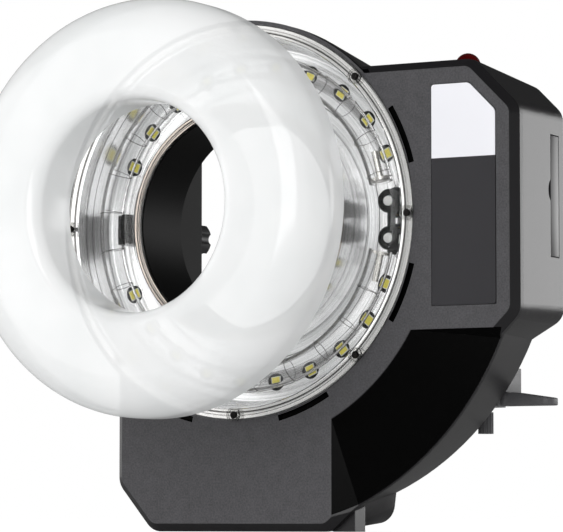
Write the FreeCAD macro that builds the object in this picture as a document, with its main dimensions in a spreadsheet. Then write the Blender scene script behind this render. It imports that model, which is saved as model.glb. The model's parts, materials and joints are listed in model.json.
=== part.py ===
import FreeCAD, Part
import math
import os
import Sketcher
from FreeCAD import Placement, Rotation, Vector

# Battery-powered ring flash for a camera: a moulded two-shell housing with a ring-shaped
# flash tube round a lens tunnel, a control block at the right and a battery base below.
# Frame: millimetres, +Z up, +Y to the back, the ring's axis is the Y axis, and Y = 0 is the
# front face of the housing's plateau.

SIZES = {
    # the ring's outside, which the housing follows
    "cover_radius": 100.0,
    # housing outline, seen from the front
    "rim_step": 1.3,
    "block_top": 74.0,
    "block_reach": 55.2,
    "block_bottom": 57.0,
    "block_corner": 24.0,
    "rear_corner": 15.7,
    "corner_round": 10.0,
    "base_reach": 55.0,
    "base_left": 70.3,
    "base_right": 54.2,
    "base_corner_across": 20.0,
    "base_corner_up": 24.0,
    "skirt_corner": 52.0,
    "arc_reach": 57.0,
    "arc_start_up": 60.0,
    "arc_end_across": 66.7,
    "arc_end_back": 59.5,
    "skirt_back": 57.5,
    "edge_bevel": 4.0,
    # front shell
    "front_depth": 7.0,
    "shell_wall": 2.5,
    "front_face_wall": 3.0,
    "plateau_width": 13.0,
    "panel_drop": 5.5,
    "panel_flank_across": 12.5,
    "panel_flank_up": 5.0,
    "lip_gap": 0.7,
    "slot_gap": 0.4,
    "slot_width": 3.0,
    "slot_half_angle": 8.5,
    "slot_depth": 2.2,
    "label_gap": 0.25,
    # rear shell
    "rear_face": 60.0,
    "draft_top": 7.0,
    "draft_right": 2.3,
    "draft_arc": 9.0,
    "draft_rim": 7.0,
    "draft_left": 5.0,
    "draft_bottom": 4.0,
    "lug_right": 63.7,
    "lug_back": 18.0,
    "lug_height": 14.0,
    # lens tunnel
    "ring_width": 46.0,
    "tunnel_wall": 2.0,
    "tunnel_round_depth": 37.0,
    "window_step": 0.8,
    "window_wall": 3.0,
    "window_corner": 12.0,
    "slip_gap": 0.3,
    # reflector and light source
    "cover_overlap": 5.7,
    "heel_inset": 3.3,
    "inner_lip_step": 4.6,
    "inner_heel_step": 3.4,
    "reflector_wall": 1.0,
    "reflector_floor": 24.0,
    "reflector_front": 0.4,
    "flange_inset": 1.0,
    "led_inset": 13.8,
    "led_hole_radius": 4.5,
    "led_first_angle": 24.0,
    "led_step_angle": 14.65,
    "led_side": 3.6,
    "led_height": 0.9,
    "led_board_step": 4.0,
    "led_board_inset": 6.3,
    "led_board_thick": 1.6,
    "tube_inset": 15.3,
    "tube_depth": 10.0,
    "tube_radius": 6.0,
    "tube_glass_wall": 1.0,
    "sleeve_radius": 6.0,
    "sleeve_upper": 7.9,
    "sleeve_lower": 10.5,
    "sleeve_front": 13.7,
    "sleeve_back": 30.0,
    "sleeve_hole_radius": 7.8,
    "web_width": 3.6,
    "web_depth": 4.0,
    "cap_radius": 2.6,
    "cap_height": 0.8,
    "electrode_radius": 1.6,
    "electrode_length": 14.0,
    "wire_diameter": 0.5,
    "wire_clearance": 0.12,
    "clip_width": 9.5,
    "clip_length": 15.0,
    "clip_front": 10.0,
    # clear cover
    "cover_flange": 6.0,
    "cover_flange_height": 1.6,
    "cover_inner_flange": 4.4,
    "cover_inner_height": 2.5,
    "cover_dome": 5.5,
    "cover_thickness": 1.6,
    "bore_gap": 0.9,
    "screw_inset": 3.0,
    "screw_count": 8,
    "screw_head_radius": 1.9,
    "screw_head_height": 0.9,
    "screw_shank_radius": 1.1,
    "screw_length": 5.0,
    "screw_gap": 0.15,
    "boss_radius": 3.6,
    "boss_wall": 0.5,
    "boss_height": 0.8,
    # label, sensor, flap
    "label_margin": 9.8,
    "label_inset": 11.1,
    "label_top": 61.9,
    "label_bottom": 45.7,
    "label_corner": 14.0,
    "label_thickness": 0.8,
    "sensor_inset": 34.2,
    "sensor_back": 18.0,
    "sensor_radius": 6.3,
    "sensor_seat": 72.5,
    "sensor_foot": 66.0,
    "flap_front": 42.9,
    "flap_back": 53.4,
    "flap_top": 39.3,
    "flap_bottom": 20.4,
    "flap_thickness": 1.2,
    "flap_gap": 0.3,
    "flap_ledge": 2.2,
    "flap_bead_inset": 0.5,
    "nail_notch_half": 6.4,
    "nail_notch_middle": 12.1,
    "nail_notch_depth": 3.5,
    # controls on the back
    "display_left_inset": 67.2,
    "display_right_inset": 21.2,
    "display_low": 24.0,
    "display_high": 54.0,
    "display_ledge": 3.0,
    "display_glass": 1.3,
    "module_thick": 4.8,
    "board_thick": 1.6,
    "button_row": 12.0,
    "button_inset": 63.2,
    "button_step": 13.0,
    "button_radius": 4.0,
    "button_lip": 1.0,
    "button_proud": 1.5,
    "button_travel": 1.0,
    "button_side_gap": 0.15,
    "dial_inset": 43.2,
    "dial_down": 18.0,
    "dial_radius": 15.0,
    "dial_stem_radius": 10.0,
    "dial_bore_radius": 8.2,
    "dial_height": 8.6,
    "dial_grooves": 20,
    "dial_groove_radius": 1.2,
    "set_radius": 7.8,
    "shaft_gap": 0.05,
    "switch_inset": 77.2,
    "switch_down": 36.0,
    "switch_length": 6.0,
    "switch_height": 4.0,
    "switch_travel": 5.0,
    "switch_proud": 2.0,
    # boards and parts inside
    "board_left_inset": 89.2,
    "board_right_inset": 19.2,
    "board_high": 50.0,
    "board_low": 44.0,
    "power_board_front": 41.0,
    "spacer_radius": 2.5,
    "spacer_inset": 5.0,
    "capacitor_radius": 12.0,
    "capacitor_inset": 44.7,
    "capacitor_step": 25.5,
    "capacitor_low": 38.0,
    "capacitor_high": 38.0,
    "coil_side": 9.0,
    "coil_length": 20.0,
    # battery
    "battery_left": 42.0,
    "battery_right": 40.0,
    "battery_floor": 12.0,
    "battery_tall": 43.0,
    "battery_front": 22.0,
    "battery_proud": 2.5,
    "battery_gap": 0.5,
    "bay_wall": 1.3,
    "bay_gap": 0.3,
    "contact_thick": 1.7,
    "latch_left": 10.0,
    "latch_right": 6.0,
    "latch_step": 4.0,
    "latch_tall": 8.0,
    "latch_proud": 2.7,
    "latch_travel": 4.0,
    "latch_stem": 6.0,
    # shell screws
    "post_radius": 3.5,
    "post_screw_radius": 1.3,
    "post_head_radius": 2.6,
    "post_head_height": 1.5,
    "post_screw_length": 12.0,
    # bracket behind the housing
    "bracket_left_inset": 77.2,
    "bracket_right_inset": 32.8,
    "bracket_top": 73.0,
    "bracket_low": 92.5,
    "bracket_middle": 82.0,
    "bracket_back": 88.0,
    "bracket_slot_step": 6.0,
    "bracket_slot_width": 14.0,
    "bracket_slot_front": 67.0,
    "bracket_slot_back": 81.0,
    "lever_middle": 75.0,
    "lever_inset": 40.7,
    "lever_hub_radius": 6.5,
    "lever_length": 26.7,
    "lever_width": 12.0,
    "lever_root_height": 6.6,
    "lever_tip_height": 3.6,
    "lever_step_inset": 7.0,
    "pin_radius": 1.5,
    "knob_inset": 52.7,
    "knob_radius": 3.9,
    "knob_top": 95.2,
    "knob_bottom": 106.0,
    "knob_neck_radius": 1.6,
    "knob_grooves": 12,
    # lobed knob behind the left of the bore
    "thumb_across": 70.5,
    "thumb_up": 1.0,
    "thumb_radius": 10.4,
    "thumb_height": 16.0,
    "thumb_stand_off": 3.0,
    "thumb_lobes": 6,
    "thumb_flute_radius": 3.4,
    "thumb_stem_radius": 4.0,
    # feet
    "foot_across": 35.0,
    "foot_back": 50.0,
    "foot_radius": 6.0,
    "foot_inset": 4.1,
    # diffuser
    "diffuser_step": 1.0,
    "diffuser_ledge": 3.0,
    "diffuser_rear": 74.0,
    "diffuser_depth": 30.0,
    "diffuser_wall": 2.0,
    "diffuser_outer_round": 20.0,
    "diffuser_inner_round": 7.0,
}

# Sizes that follow another one: the ring's outside sets the housing round it, and the housing's
# right side and bottom set what sits in them.
TIED = {
    "bore_radius": "cover_radius - ring_width",
    "rim_radius": "cover_radius + rim_step",
    "block_right": "cover_radius + block_reach",
    "arc_radius": "cover_radius + arc_reach",
    "base_bottom": "cover_radius + base_reach",
    "plateau_arc_radius": "cover_radius + plateau_width",
    "slot_inner_radius": "cover_radius + slot_gap",
    "label_left": "cover_radius + label_margin",
    "reflector_lip_radius": "cover_radius - cover_overlap",
    "reflector_opening": "reflector_lip_radius + lip_gap",
    "flange_radius": "cover_radius - flange_inset",
    "inner_flange_radius": "bore_radius + tunnel_wall + slip_gap",
    "reflector_heel_radius": "reflector_lip_radius - heel_inset",
    "led_circle": "reflector_lip_radius - led_inset",
    "tube_circle": "reflector_lip_radius - tube_inset",
    "led_board_outer": "reflector_lip_radius - led_board_inset",
    "screw_circle": "cover_radius - screw_inset",
    "diffuser_radius": "cover_radius + diffuser_step",
    "reflector_inner_lip": "bore_radius + inner_lip_step",
    "reflector_inner_heel": "reflector_inner_lip + inner_heel_step",
    "led_board_inner": "reflector_inner_heel + led_board_step",
    "window_half": "bore_radius + window_step",
    "diffuser_hole": "bore_radius - diffuser_ledge",
    "lug_top": "base_bottom - lug_height",
    "label_right": "block_right - label_inset",
    "sensor_across": "block_right - sensor_inset",
    "display_left": "block_right - display_left_inset",
    "display_right": "block_right - display_right_inset",
    "button_first": "block_right - button_inset",
    "dial_across": "block_right - dial_inset",
    "switch_across": "block_right - switch_inset",
    "board_left": "block_right - board_left_inset",
    "board_right": "block_right - board_right_inset",
    "capacitor_first": "block_right - capacitor_inset",
    "battery_low": "base_bottom - battery_floor",
    "battery_high": "battery_low - battery_tall",
    "latch_low": "battery_high - latch_step",
    "latch_high": "latch_low - latch_tall",
    "bracket_left": "block_right - bracket_left_inset",
    "bracket_right": "block_right - bracket_right_inset",
    "bracket_slot_left": "bracket_left + bracket_slot_step",
    "bracket_slot_right": "bracket_slot_left + bracket_slot_width",
    "lever_pivot": "block_right - lever_inset",
    "lever_reach": "lever_pivot + lever_length",
    "lever_step": "lever_pivot - lever_step_inset",
    "knob_across": "block_right - knob_inset",
    "foot_seat": "base_bottom - foot_inset",
}

doc = FreeCAD.newDocument("RingFlash")
sheet = doc.addObject("Spreadsheet::Sheet", "Sizes")
for row, (name, value) in enumerate(SIZES.items(), start=1):
    sheet.set("A%d" % row, name)
    sheet.set("B%d" % row, str(value))
    sheet.setAlias("B%d" % row, name)
doc.recompute()
for row, (name, words) in enumerate(TIED.items(), start=len(SIZES) + 1):
    sheet.set("A%d" % row, name)
    sheet.set("B%d" % row, "=" + words)
    sheet.setAlias("B%d" % row, name)
doc.recompute()

parts = []


def read(name):
    """The value of one named size, as the sheet holds it."""
    return float(sheet.get(name))


def amount(words):
    """The value of a sum of named sizes, such as "rear_face - shell_wall" or "web_width / 2"."""
    total = 0.0
    sign = 1.0
    last = 0.0
    tokens = words.split()
    index = 0
    while index < len(tokens):
        token = tokens[index]
        if token in ("+", "-"):
            sign = 1.0 if token == "+" else -1.0
        elif token in ("/", "*"):
            index += 1
            factor = float(tokens[index])
            total -= last
            last = last / factor if token == "/" else last * factor
            total += last
        else:
            last = sign * (float(token) if token[0].isdigit() else read(token))
            total += last
            sign = 1.0
        index += 1
    return total


def formula(words):
    """The same sum as an expression on the sheet's cells."""
    return " ".join("Sizes." + token if token[0].isalpha() else token for token in words.split())


def bind(item, **sizes):
    """Tie an object's properties to sums of named sizes."""
    for name, words in sizes.items():
        item.setExpression(name, formula(words))
    return item


def put(item, x="0", y="0", z="0"):
    """Tie an object's place to sums of named sizes."""
    for axis, words in (("x", x), ("y", y), ("z", z)):
        item.setExpression("Placement.Base." + axis, formula(words))
    return item


def keep(item, node):
    """Name an object as a finished piece."""
    item.Label = node
    parts.append((node, item))
    return item


def box(name, x, y, z):
    """A box between pairs of sums of sizes along each axis."""
    item = doc.addObject("Part::Box", name)
    for side, pair in (("Length", x), ("Width", y), ("Height", z)):
        item.setExpression(side, "(%s) - (%s)" % (formula(pair[1]), formula(pair[0])))
    return put(item, x[0], y[0], z[0])


AXIS_TURN = {
    "x": Rotation(Vector(0, 0, 1), Vector(1, 0, 0)),
    "y": Rotation(Vector(0, 0, 1), Vector(0, 1, 0)),
    "z": Rotation(),
}


def rod(name, axis, radius, start, end, across):
    """A cylinder along an axis from start to end; across gives the other two coordinates in order."""
    item = doc.addObject("Part::Cylinder", name)
    bind(item, Radius=radius)
    item.setExpression("Height", "(%s) - (%s)" % (formula(end), formula(start)))
    item.Placement = Placement(Vector(), AXIS_TURN[axis])
    places = {"x": (start, across[0], across[1]), "y": (across[0], start, across[1]),
              "z": (across[0], across[1], start)}[axis]
    return put(item, *places)


def cut(name, base, *tools):
    """The base with the tools taken away, one after another."""
    result = base
    for number, tool in enumerate(tools):
        step = doc.addObject("Part::Cut", "%s_%d" % (name, number))
        step.Base = result
        step.Tool = tool
        result = step
    return result


def join(name, *items):
    """Several touching shapes as one solid."""
    item = doc.addObject("Part::MultiFuse", name)
    item.Shapes = list(items)
    item.Refine = True
    return item


def group(name, *items):
    """Separate solids of one kind, kept together as one piece of the list."""
    item = doc.addObject("Part::Compound", name)
    item.Links = list(items)
    return item


def new_body(name):
    body = doc.addObject("PartDesign::Body", name)
    body.AllowCompound = True
    return body


def plane_of(body, role):
    """One of the body's own origin planes."""
    return next(item for item in body.Origin.OriginFeatures if item.Role == role)


def sketch_on(body, name, role, shift="0"):
    """An empty sketch on an origin plane, moved along the plane's normal by a sum of sizes."""
    sketch = body.newObject("Sketcher::SketchObject", name)
    sketch.AttachmentSupport = (plane_of(body, role), [""])
    sketch.MapMode = "FlatFace"
    sketch.setExpression("AttachmentOffset.Base.z", formula(shift))
    return sketch


def tie(sketch, kind, geometry, point, words):
    """Hold one coordinate of a sketch point at a sum of sizes."""
    value = amount(words)
    name = "%s_%d_%d" % (kind, geometry, point)
    if value >= 0:
        number = sketch.addConstraint(Sketcher.Constraint(kind, -1, 1, geometry, point, value))
        text = formula(words)
    else:
        number = sketch.addConstraint(Sketcher.Constraint(kind, geometry, point, -1, 1, -value))
        text = "-(%s)" % formula(words)
    sketch.renameConstraint(number, name)
    sketch.setExpression("Constraints." + name, text)


def on_circle(radius, other, sign):
    """A coordinate left to a circle about the origin: its starting value only."""
    return sign * math.sqrt(amount(radius) ** 2 - amount(other) ** 2)


def draw_outline(sketch, corners, arcs=None):
    """Draw a closed outline.

    Each corner is (across, up); a pair ("circle", sign) in place of a sum leaves that coordinate to
    the arc that meets the corner. arcs gives, for the side that starts at a corner, the radius of an
    arc about the origin and 1 for anticlockwise or -1 for clockwise.
    """
    arcs = arcs or {}
    count = len(corners)
    points = []
    for number, (across, up) in enumerate(corners):
        radius = (arcs.get(number) or arcs.get((number - 1) % count) or ("0", 1))[0]
        if isinstance(across, tuple):
            points.append(Vector(on_circle(radius, up, across[1]), amount(up), 0))
        elif isinstance(up, tuple):
            points.append(Vector(amount(across), on_circle(radius, across, up[1]), 0))
        else:
            points.append(Vector(amount(across), amount(up), 0))
    begins = []
    for number in range(count):
        start = points[number]
        end = points[(number + 1) % count]
        if number in arcs:
            radius, turn = arcs[number]
            first, last = (start, end) if turn > 0 else (end, start)
            circle = Part.Circle(Vector(), Vector(0, 0, 1), amount(radius))
            low = math.atan2(first.y, first.x)
            high = math.atan2(last.y, last.x)
            high += 2 * math.pi if high < low else 0
            sketch.addGeometry(Part.ArcOfCircle(circle, low, high))
            begins.append((1, 2) if turn > 0 else (2, 1))
            sketch.addConstraint(Sketcher.Constraint("Coincident", number, 3, -1, 1))
            held = sketch.addConstraint(Sketcher.Constraint("Radius", number, amount(radius)))
            sketch.renameConstraint(held, "Radius_%d" % number)
            sketch.setExpression("Constraints.Radius_%d" % number, formula(radius))
        else:
            sketch.addGeometry(Part.LineSegment(start, end))
            begins.append((1, 2))
    for number in range(count):
        following = (number + 1) % count
        sketch.addConstraint(Sketcher.Constraint("Coincident", number, begins[number][1],
                                                 following, begins[following][0]))
    for number, (across, up) in enumerate(corners):
        if not isinstance(across, tuple):
            tie(sketch, "DistanceX", number, begins[number][0], across)
        if not isinstance(up, tuple):
            tie(sketch, "DistanceY", number, begins[number][0], up)
    return sketch


def feature(body, kind, name, sketch, **settings):
    item = body.newObject("PartDesign::" + kind, name)
    item.Profile = sketch
    for prop, value in settings.items():
        setattr(item, prop, value)
    return item


def pad_back(body, name, sketch, length):
    """Extrude a front-view sketch towards the back."""
    item = feature(body, "Pad", name, sketch, Reversed=True)
    return bind(item, Length=length)


def turned(name, corners, offset=None):
    """A body of revolution about the Y axis; corners are (radius, depth) sums of sizes."""
    body = new_body(name)
    sketch = sketch_on(body, name + "_profile", "XY_Plane")
    draw_outline(sketch, corners)
    turn = feature(body, "Revolution", name + "_turn", sketch, Angle=360.0)
    turn.ReferenceAxis = (sketch, ["V_Axis"])
    if offset:
        put(body, *offset)
    return body


def round_sketch(body, name, role, shift, centre, radius):
    """A sketch of one circle."""
    sketch = sketch_on(body, name, role, shift)
    middle = Vector(amount(centre[0]), amount(centre[1]), 0)
    sketch.addGeometry(Part.Circle(middle, Vector(0, 0, 1), amount(radius)))
    held = sketch.addConstraint(Sketcher.Constraint("Radius", 0, amount(radius)))
    sketch.renameConstraint(held, "Radius_0")
    sketch.setExpression("Constraints.Radius_0", formula(radius))
    for kind, words in (("DistanceX", centre[0]), ("DistanceY", centre[1])):
        if abs(amount(words)) < 1e-9:
            axis = -2 if kind == "DistanceX" else -1
            sketch.addConstraint(Sketcher.Constraint("PointOnObject", 0, 3, axis))
        else:
            tie(sketch, kind, 0, 3, words)
    return sketch


def repeat(body, name, original, axis, count, angle="360"):
    """A polar pattern of one feature; angle is a plain number or a product on the sheet."""
    pattern = body.newObject("PartDesign::PolarPattern", name)
    pattern.Originals = [original]
    pattern.Axis = axis
    pattern.setExpression("Angle", angle)
    pattern.setExpression("Occurrences", count)
    body.Tip = pattern
    return pattern


def edges_where(shape, test):
    """The names of the edges that pass a test."""
    return ["Edge%d" % (number + 1) for number, edge in enumerate(shape.Edges) if test(edge)]


def ends(edge):
    return [vertex.Point for vertex in edge.Vertexes]


def spans_depth(edge):
    """True for an edge that runs from front to back."""
    points = ends(edge)
    if len(points) < 2:
        return False
    step = points[1] - points[0]
    return abs(step.y) > 0.8 * step.Length


# Housing outline, shared by both shells: how far each side has moved in gives the drafted and
# the inner outlines.

def housing_corners(top, right, left, bottom, corner, heel):
    """Corners of the housing outline, clockwise from where the block leaves the ring."""
    high = "block_top" + top
    side = "block_right" + right
    return [
        (("circle", 1), high),
        (side + " - " + corner, high),
        (side, high + " - " + corner),
        (side, "- block_bottom + front_depth"),
        (("circle", 1), "- arc_start_up"),
        (heel[0], ("circle", -1)),
        (heel[1], "- base_bottom" + bottom),
        ("- base_left + base_corner_across" + left, "- base_bottom" + bottom),
        ("- base_left" + left, "- base_bottom + base_corner_up" + bottom),
        ("- base_left" + left, ("circle", -1)),
    ]


def housing_sketch(body, name, shift, top="", right="", left="", bottom="", arc="", rim="",
                   corner="block_corner", heel=("arc_end_across", "skirt_corner")):
    """The housing outline on a plane, each side moved in by a sum of sizes."""
    sketch = sketch_on(body, name, "XZ_Plane", shift)
    draw_outline(sketch, housing_corners(top, right, left, bottom, corner, heel),
                 {4: ("arc_radius" + arc, -1), 9: ("rim_radius" + rim, -1)})
    return sketch


def make_front_shell():
    """Plateau with its bevel, the sunk curved panel, the ring opening, slots and screw posts."""
    body = new_body("front_slab")
    sketch = housing_sketch(body, "front_outline", "0")
    slab = pad_back(body, "front_pad", sketch, "front_depth")
    doc.recompute()

    def bevelled(edge):
        points = ends(edge)
        flat = all(abs(point.y) < 1e-6 for point in points)
        straight = edge.Curve.TypeId == "Part::GeomLine"
        middle = edge.CenterOfMass
        in_panel = middle.x > read("base_right") and middle.z < -read("block_bottom")
        return flat and straight and not in_panel

    def corner(edge):
        middle = edge.CenterOfMass
        near_arc = middle.x > read("arc_end_across") and middle.z < -read("block_bottom")
        at_rim = math.hypot(middle.x, middle.z) < read("rim_radius") + 1
        return spans_depth(edge) and not near_arc and not at_rim

    rounding = body.newObject("PartDesign::Fillet", "front_corners")
    rounding.Base = (slab, edges_where(slab.Shape, corner))
    bind(rounding, Radius="corner_round")
    doc.recompute()
    bevel = body.newObject("PartDesign::Chamfer", "front_bevel")
    bevel.Base = (rounding, edges_where(rounding.Shape, bevelled))
    bind(bevel, Size="edge_bevel")
    body.Tip = bevel

    # The panel falls away from the plateau as a shallow cone, between two sloping flanks.
    cone = turned("panel_cone", [
        ("plateau_arc_radius", "0"),
        ("plateau_arc_radius", "- front_depth"),
        ("arc_radius + front_depth", "- front_depth"),
        ("arc_radius + front_depth", "panel_drop"),
        ("arc_radius", "panel_drop"),
    ])
    flanks = doc.addObject("Part::Wedge", "panel_flanks")
    for prop, words in (("Xmin", "base_right"), ("Xmax", "arc_radius + front_depth"),
                        ("X2min", "base_right + panel_flank_across"),
                        ("X2max", "arc_radius + front_depth")):
        flanks.setExpression(prop, formula(words))
    for prop, words in (("Zmin", "- arc_radius - front_depth"), ("Zmax", "- block_bottom"),
                        ("Z2min", "- arc_radius - front_depth"),
                        ("Z2max", "- block_bottom - panel_flank_up")):
        flanks.setExpression(prop, formula(words))
    flanks.setExpression("Ymin", "0")
    flanks.setExpression("Ymax", formula("panel_drop"))
    panel = doc.addObject("Part::Common", "panel_cutter")
    panel.Base = cone
    panel.Tool = flanks

    ring_hole = rod("ring_hole", "y", "reflector_opening", "- front_depth", "front_depth + 1",
                    ("0", "0"))
    flange_seat = rod("flange_seat", "y", "flange_radius + slip_gap", "- front_depth",
                      "reflector_front + reflector_wall", ("0", "0"))
    block_room = box("block_room", ("rim_radius + shell_wall", "block_right - shell_wall"),
                     ("front_face_wall", "front_depth + 1"),
                     ("- block_bottom + front_depth + shell_wall", "block_top - block_corner"))
    base_room = box("base_room", ("- base_left + shell_wall", "base_right - shell_wall"),
                    ("front_face_wall", "front_depth + 1"),
                    ("- base_bottom + base_corner_up", "- rim_radius - shell_wall"))
    label_room = make_label("label_room", "label_gap", "0.2")
    slots = [make_slot(number, angle) for number, angle in enumerate((22.5, -22.5, -67.5, -112.5))]
    pilot = make_cover_screws("cover_pilot", "screw_gap", "0")
    shell = cut("front_cut", body, panel, ring_hole, flange_seat, block_room, base_room, label_room,
                pilot, *slots)
    posts = []
    for number, (across, up) in enumerate(POSTS):
        root = "front_face_wall - 0.5" if number < 3 else "front_depth - 0.5"
        post = rod("post_%d" % number, "y", "post_radius", root,
                   "rear_face - shell_wall - slip_gap", (across, up))
        bore = rod("post_bore_%d" % number, "y", "post_screw_radius + screw_gap",
                   "rear_face - post_screw_length - shell_wall", "rear_face", (across, up))
        posts.append(cut("post_tube_%d" % number, post, bore))
    whole = join("front_shell_solid", shell, *posts)
    keep(whole, "front_shell")


# Where the four screw posts of the front shell stand, as (across, up); the last one is behind the
# sunk panel, so it starts further back.
POSTS = [
    ("block_right - 12", "- board_low"),
    ("display_left - post_radius - 0.5", "display_high + 3"),
    ("- base_left + 13.5", "- battery_high - 25"),
    ("base_right + 6", "- battery_high - 20"),
]


def make_label(name, gap, proud):
    """The label plate's outline as a prism; the gap widens and deepens it into its recess."""
    body = new_body(name)
    sketch = sketch_on(body, name + "_outline", "XZ_Plane", proud)
    draw_outline(sketch, [
        ("label_left - " + gap, "label_top + " + gap),
        ("label_right - label_corner + " + gap, "label_top + " + gap),
        ("label_right + " + gap, "label_top - label_corner + " + gap),
        ("label_right + " + gap, "- label_bottom - " + gap),
        ("label_left - " + gap, "- label_bottom - " + gap),
    ])
    pad_back(body, name + "_pad", sketch, "label_thickness + " + proud)
    return body


def make_slot(number, angle):
    """One curved accessory slot beside the ring, centred on an angle."""
    outer = doc.addObject("Part::Cylinder", "slot_outer_%d" % number)
    inner = doc.addObject("Part::Cylinder", "slot_inner_%d" % number)
    bind(outer, Radius="slot_inner_radius + slot_width", Height="slot_depth + 1",
         Angle="slot_half_angle * 2")
    bind(inner, Radius="slot_inner_radius", Height="slot_depth + 1", Angle="slot_half_angle * 2")
    slot = doc.addObject("Part::Cut", "slot_%d" % number)
    slot.Base = outer
    slot.Tool = inner
    stand = Rotation(Vector(1, 0, 0), 90)
    start = Rotation(Vector(0, 1, 0), -(angle - read("slot_half_angle")))
    slot.Placement = Placement(Vector(), start.multiply(stand))
    put(slot, y="slot_depth")
    return slot


def make_cover_screws(name, gap, head):
    """Eight pan-head screws round the cover, or with a gap their holes."""
    body = new_body(name)
    turn_axis = sketch_on(body, name + "_profile", "XY_Plane")
    near = "- cover_flange_height"
    if head == "0":
        corners = [("screw_circle", near), ("screw_circle + screw_shank_radius + " + gap, near),
                   ("screw_circle + screw_shank_radius + " + gap, "screw_length"),
                   ("screw_circle", "screw_length")]
    else:
        corners = [("screw_circle", near + " - screw_head_height"),
                   ("screw_circle + screw_head_radius", near + " - screw_head_height"),
                   ("screw_circle + screw_head_radius", near),
                   ("screw_circle + screw_shank_radius", near),
                   ("screw_circle + screw_shank_radius", "screw_length - screw_gap"),
                   ("screw_circle", "screw_length - screw_gap")]
    draw_outline(turn_axis, corners)
    last = len(corners) - 1
    screw = feature(body, "Revolution", name + "_turn", turn_axis, Angle=360.0)
    screw.ReferenceAxis = (turn_axis, ["Edge%d" % (last + 1)])
    doc.recompute()
    guide = sketch_on(body, name + "_guide", "XZ_Plane")
    repeat(body, name + "_ring", screw, (guide, ["N_Axis"]), "Sizes.screw_count")
    return body


def make_rear_shell():
    """Drafted back shell, hollow, with every opening that the back and the sides need."""
    body = new_body("rear_loft")
    front = housing_sketch(body, "rear_front_outline", "- front_depth")
    back = housing_sketch(body, "rear_back_outline", "- rear_face", " - draft_top", " - draft_right",
                          " + draft_left", " + draft_bottom", " - draft_arc", " - draft_rim",
                          "rear_corner", ("arc_end_back", "skirt_back"))
    outer = feature(body, "AdditiveLoft", "rear_outside", back, Ruled=True)
    outer.Sections = [front]
    doc.recompute()

    def corner(edge):
        middle = edge.CenterOfMass
        at_rim = math.hypot(middle.x, middle.z) < read("rim_radius") + 1
        at_arc = middle.x > read("arc_end_across") - 10 and middle.z < -read("block_bottom") + 5
        return spans_depth(edge) and not at_rim and not at_arc

    rounding = body.newObject("PartDesign::Fillet", "rear_corners")
    rounding.Base = (outer, edges_where(outer.Shape, corner))
    bind(rounding, Radius="corner_round")
    doc.recompute()
    inside_front = housing_sketch(body, "rear_inside_front", "- front_depth", " - shell_wall",
                                  " - shell_wall", " + shell_wall", " + shell_wall",
                                  " - shell_wall", " - shell_wall")
    inside_back = housing_sketch(
        body, "rear_inside_back", "- rear_face + shell_wall", " - draft_top - shell_wall",
        " - draft_right - shell_wall", " + draft_left + shell_wall", " + draft_bottom + shell_wall",
        " - draft_arc - shell_wall", " - draft_rim - shell_wall", "rear_corner",
        ("arc_end_back - shell_wall", "skirt_back - shell_wall"))
    inside = feature(body, "SubtractiveLoft", "rear_inside", inside_back, Ruled=True)
    inside.Sections = [inside_front]

    lug = box("corner_lug", ("base_right - shell_wall", "lug_right"),
              ("front_depth + 0.2", "lug_back"), ("- base_bottom", "- lug_top"))
    wall = ("rear_face - shell_wall - 1", "rear_face + 1")
    tools = [
        make_window("window_hole", "window_half + window_wall + slip_gap", wall[0], wall[1]),
        box("display_recess", ("display_left - slip_gap", "display_right + slip_gap"),
            ("rear_face - display_glass - slip_gap", "rear_face + 1"),
            ("display_low - slip_gap", "display_high + slip_gap")),
        box("display_hole", ("display_left + display_ledge", "display_right - display_ledge"), wall,
            ("display_low + display_ledge", "display_high - display_ledge")),
        rod("dial_hole", "y", "dial_stem_radius + shaft_gap", wall[0], wall[1],
            ("dial_across", "- dial_down")),
        box("switch_hole", ("switch_across - switch_length / 2 - slip_gap",
                            "switch_across + switch_length / 2 + switch_travel + slip_gap"), wall,
            ("- switch_down - switch_height / 2 - slip_gap",
             "- switch_down + switch_height / 2 + slip_gap")),
        box("battery_hole", ("- battery_left - battery_gap", "battery_right + battery_gap"), wall,
            ("- battery_low - battery_gap", "- battery_high + battery_gap")),
        box("latch_hole",
            ("- latch_left + latch_stem - slip_gap - 1", "latch_right - latch_stem + slip_gap + 3"),
            wall, ("- latch_low + 2 - slip_gap", "- latch_high - 2 + latch_travel + slip_gap")),
        rod("thumb_hole", "y", "thumb_stem_radius + shaft_gap", wall[0], wall[1],
            ("- thumb_across", "- thumb_up")),
        rod("sensor_hole", "z", "sensor_radius + slip_gap", "sensor_foot", "block_top + 2",
            ("sensor_across", "sensor_back")),
    ]
    for number in range(4):
        tools.append(rod("button_hole_%d" % number, "y", "button_radius + button_side_gap",
                         wall[0], wall[1], ("button_first + button_step * %d" % number, "button_row")))
    for number, (across, up) in enumerate(POSTS):
        tools.append(rod("screw_hole_%d" % number, "y", "post_screw_radius + screw_gap",
                         wall[0], wall[1], (across, up)))
        tools.append(rod("screw_sink_%d" % number, "y", "post_head_radius + screw_gap",
                         "rear_face - post_head_height", wall[1], (across, up)))
    for number, across in enumerate(BRACKET_SCREWS):
        tools.append(rod("bracket_hole_%d" % number, "y", "post_screw_radius + screw_gap",
                         wall[0], wall[1], (across, "- bracket_middle")))
    for number, across in enumerate(FEET):
        tools.append(rod("foot_recess_%d" % number, "z", "foot_radius + screw_gap", "- base_bottom - 1",
                         "- foot_seat", (across, "foot_back")))
    flap_recess = flap_box("flap_recess", "flap_gap", "flap_thickness + slip_gap", "1")
    flap_hole = flap_box("flap_hole", "- flap_ledge", "shell_wall * 2", "1")
    nail = rod("nail_notch", "x", "nail_notch_half", "block_right - draft_right - 1.6",
               "block_right + 1", ("flap_front + 3.4", "nail_notch_middle"))
    shell = cut("rear_cut", join("rear_with_lug", body, lug), *tools, flap_recess, flap_hole, nail)
    keep(shell, "rear_shell")


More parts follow.
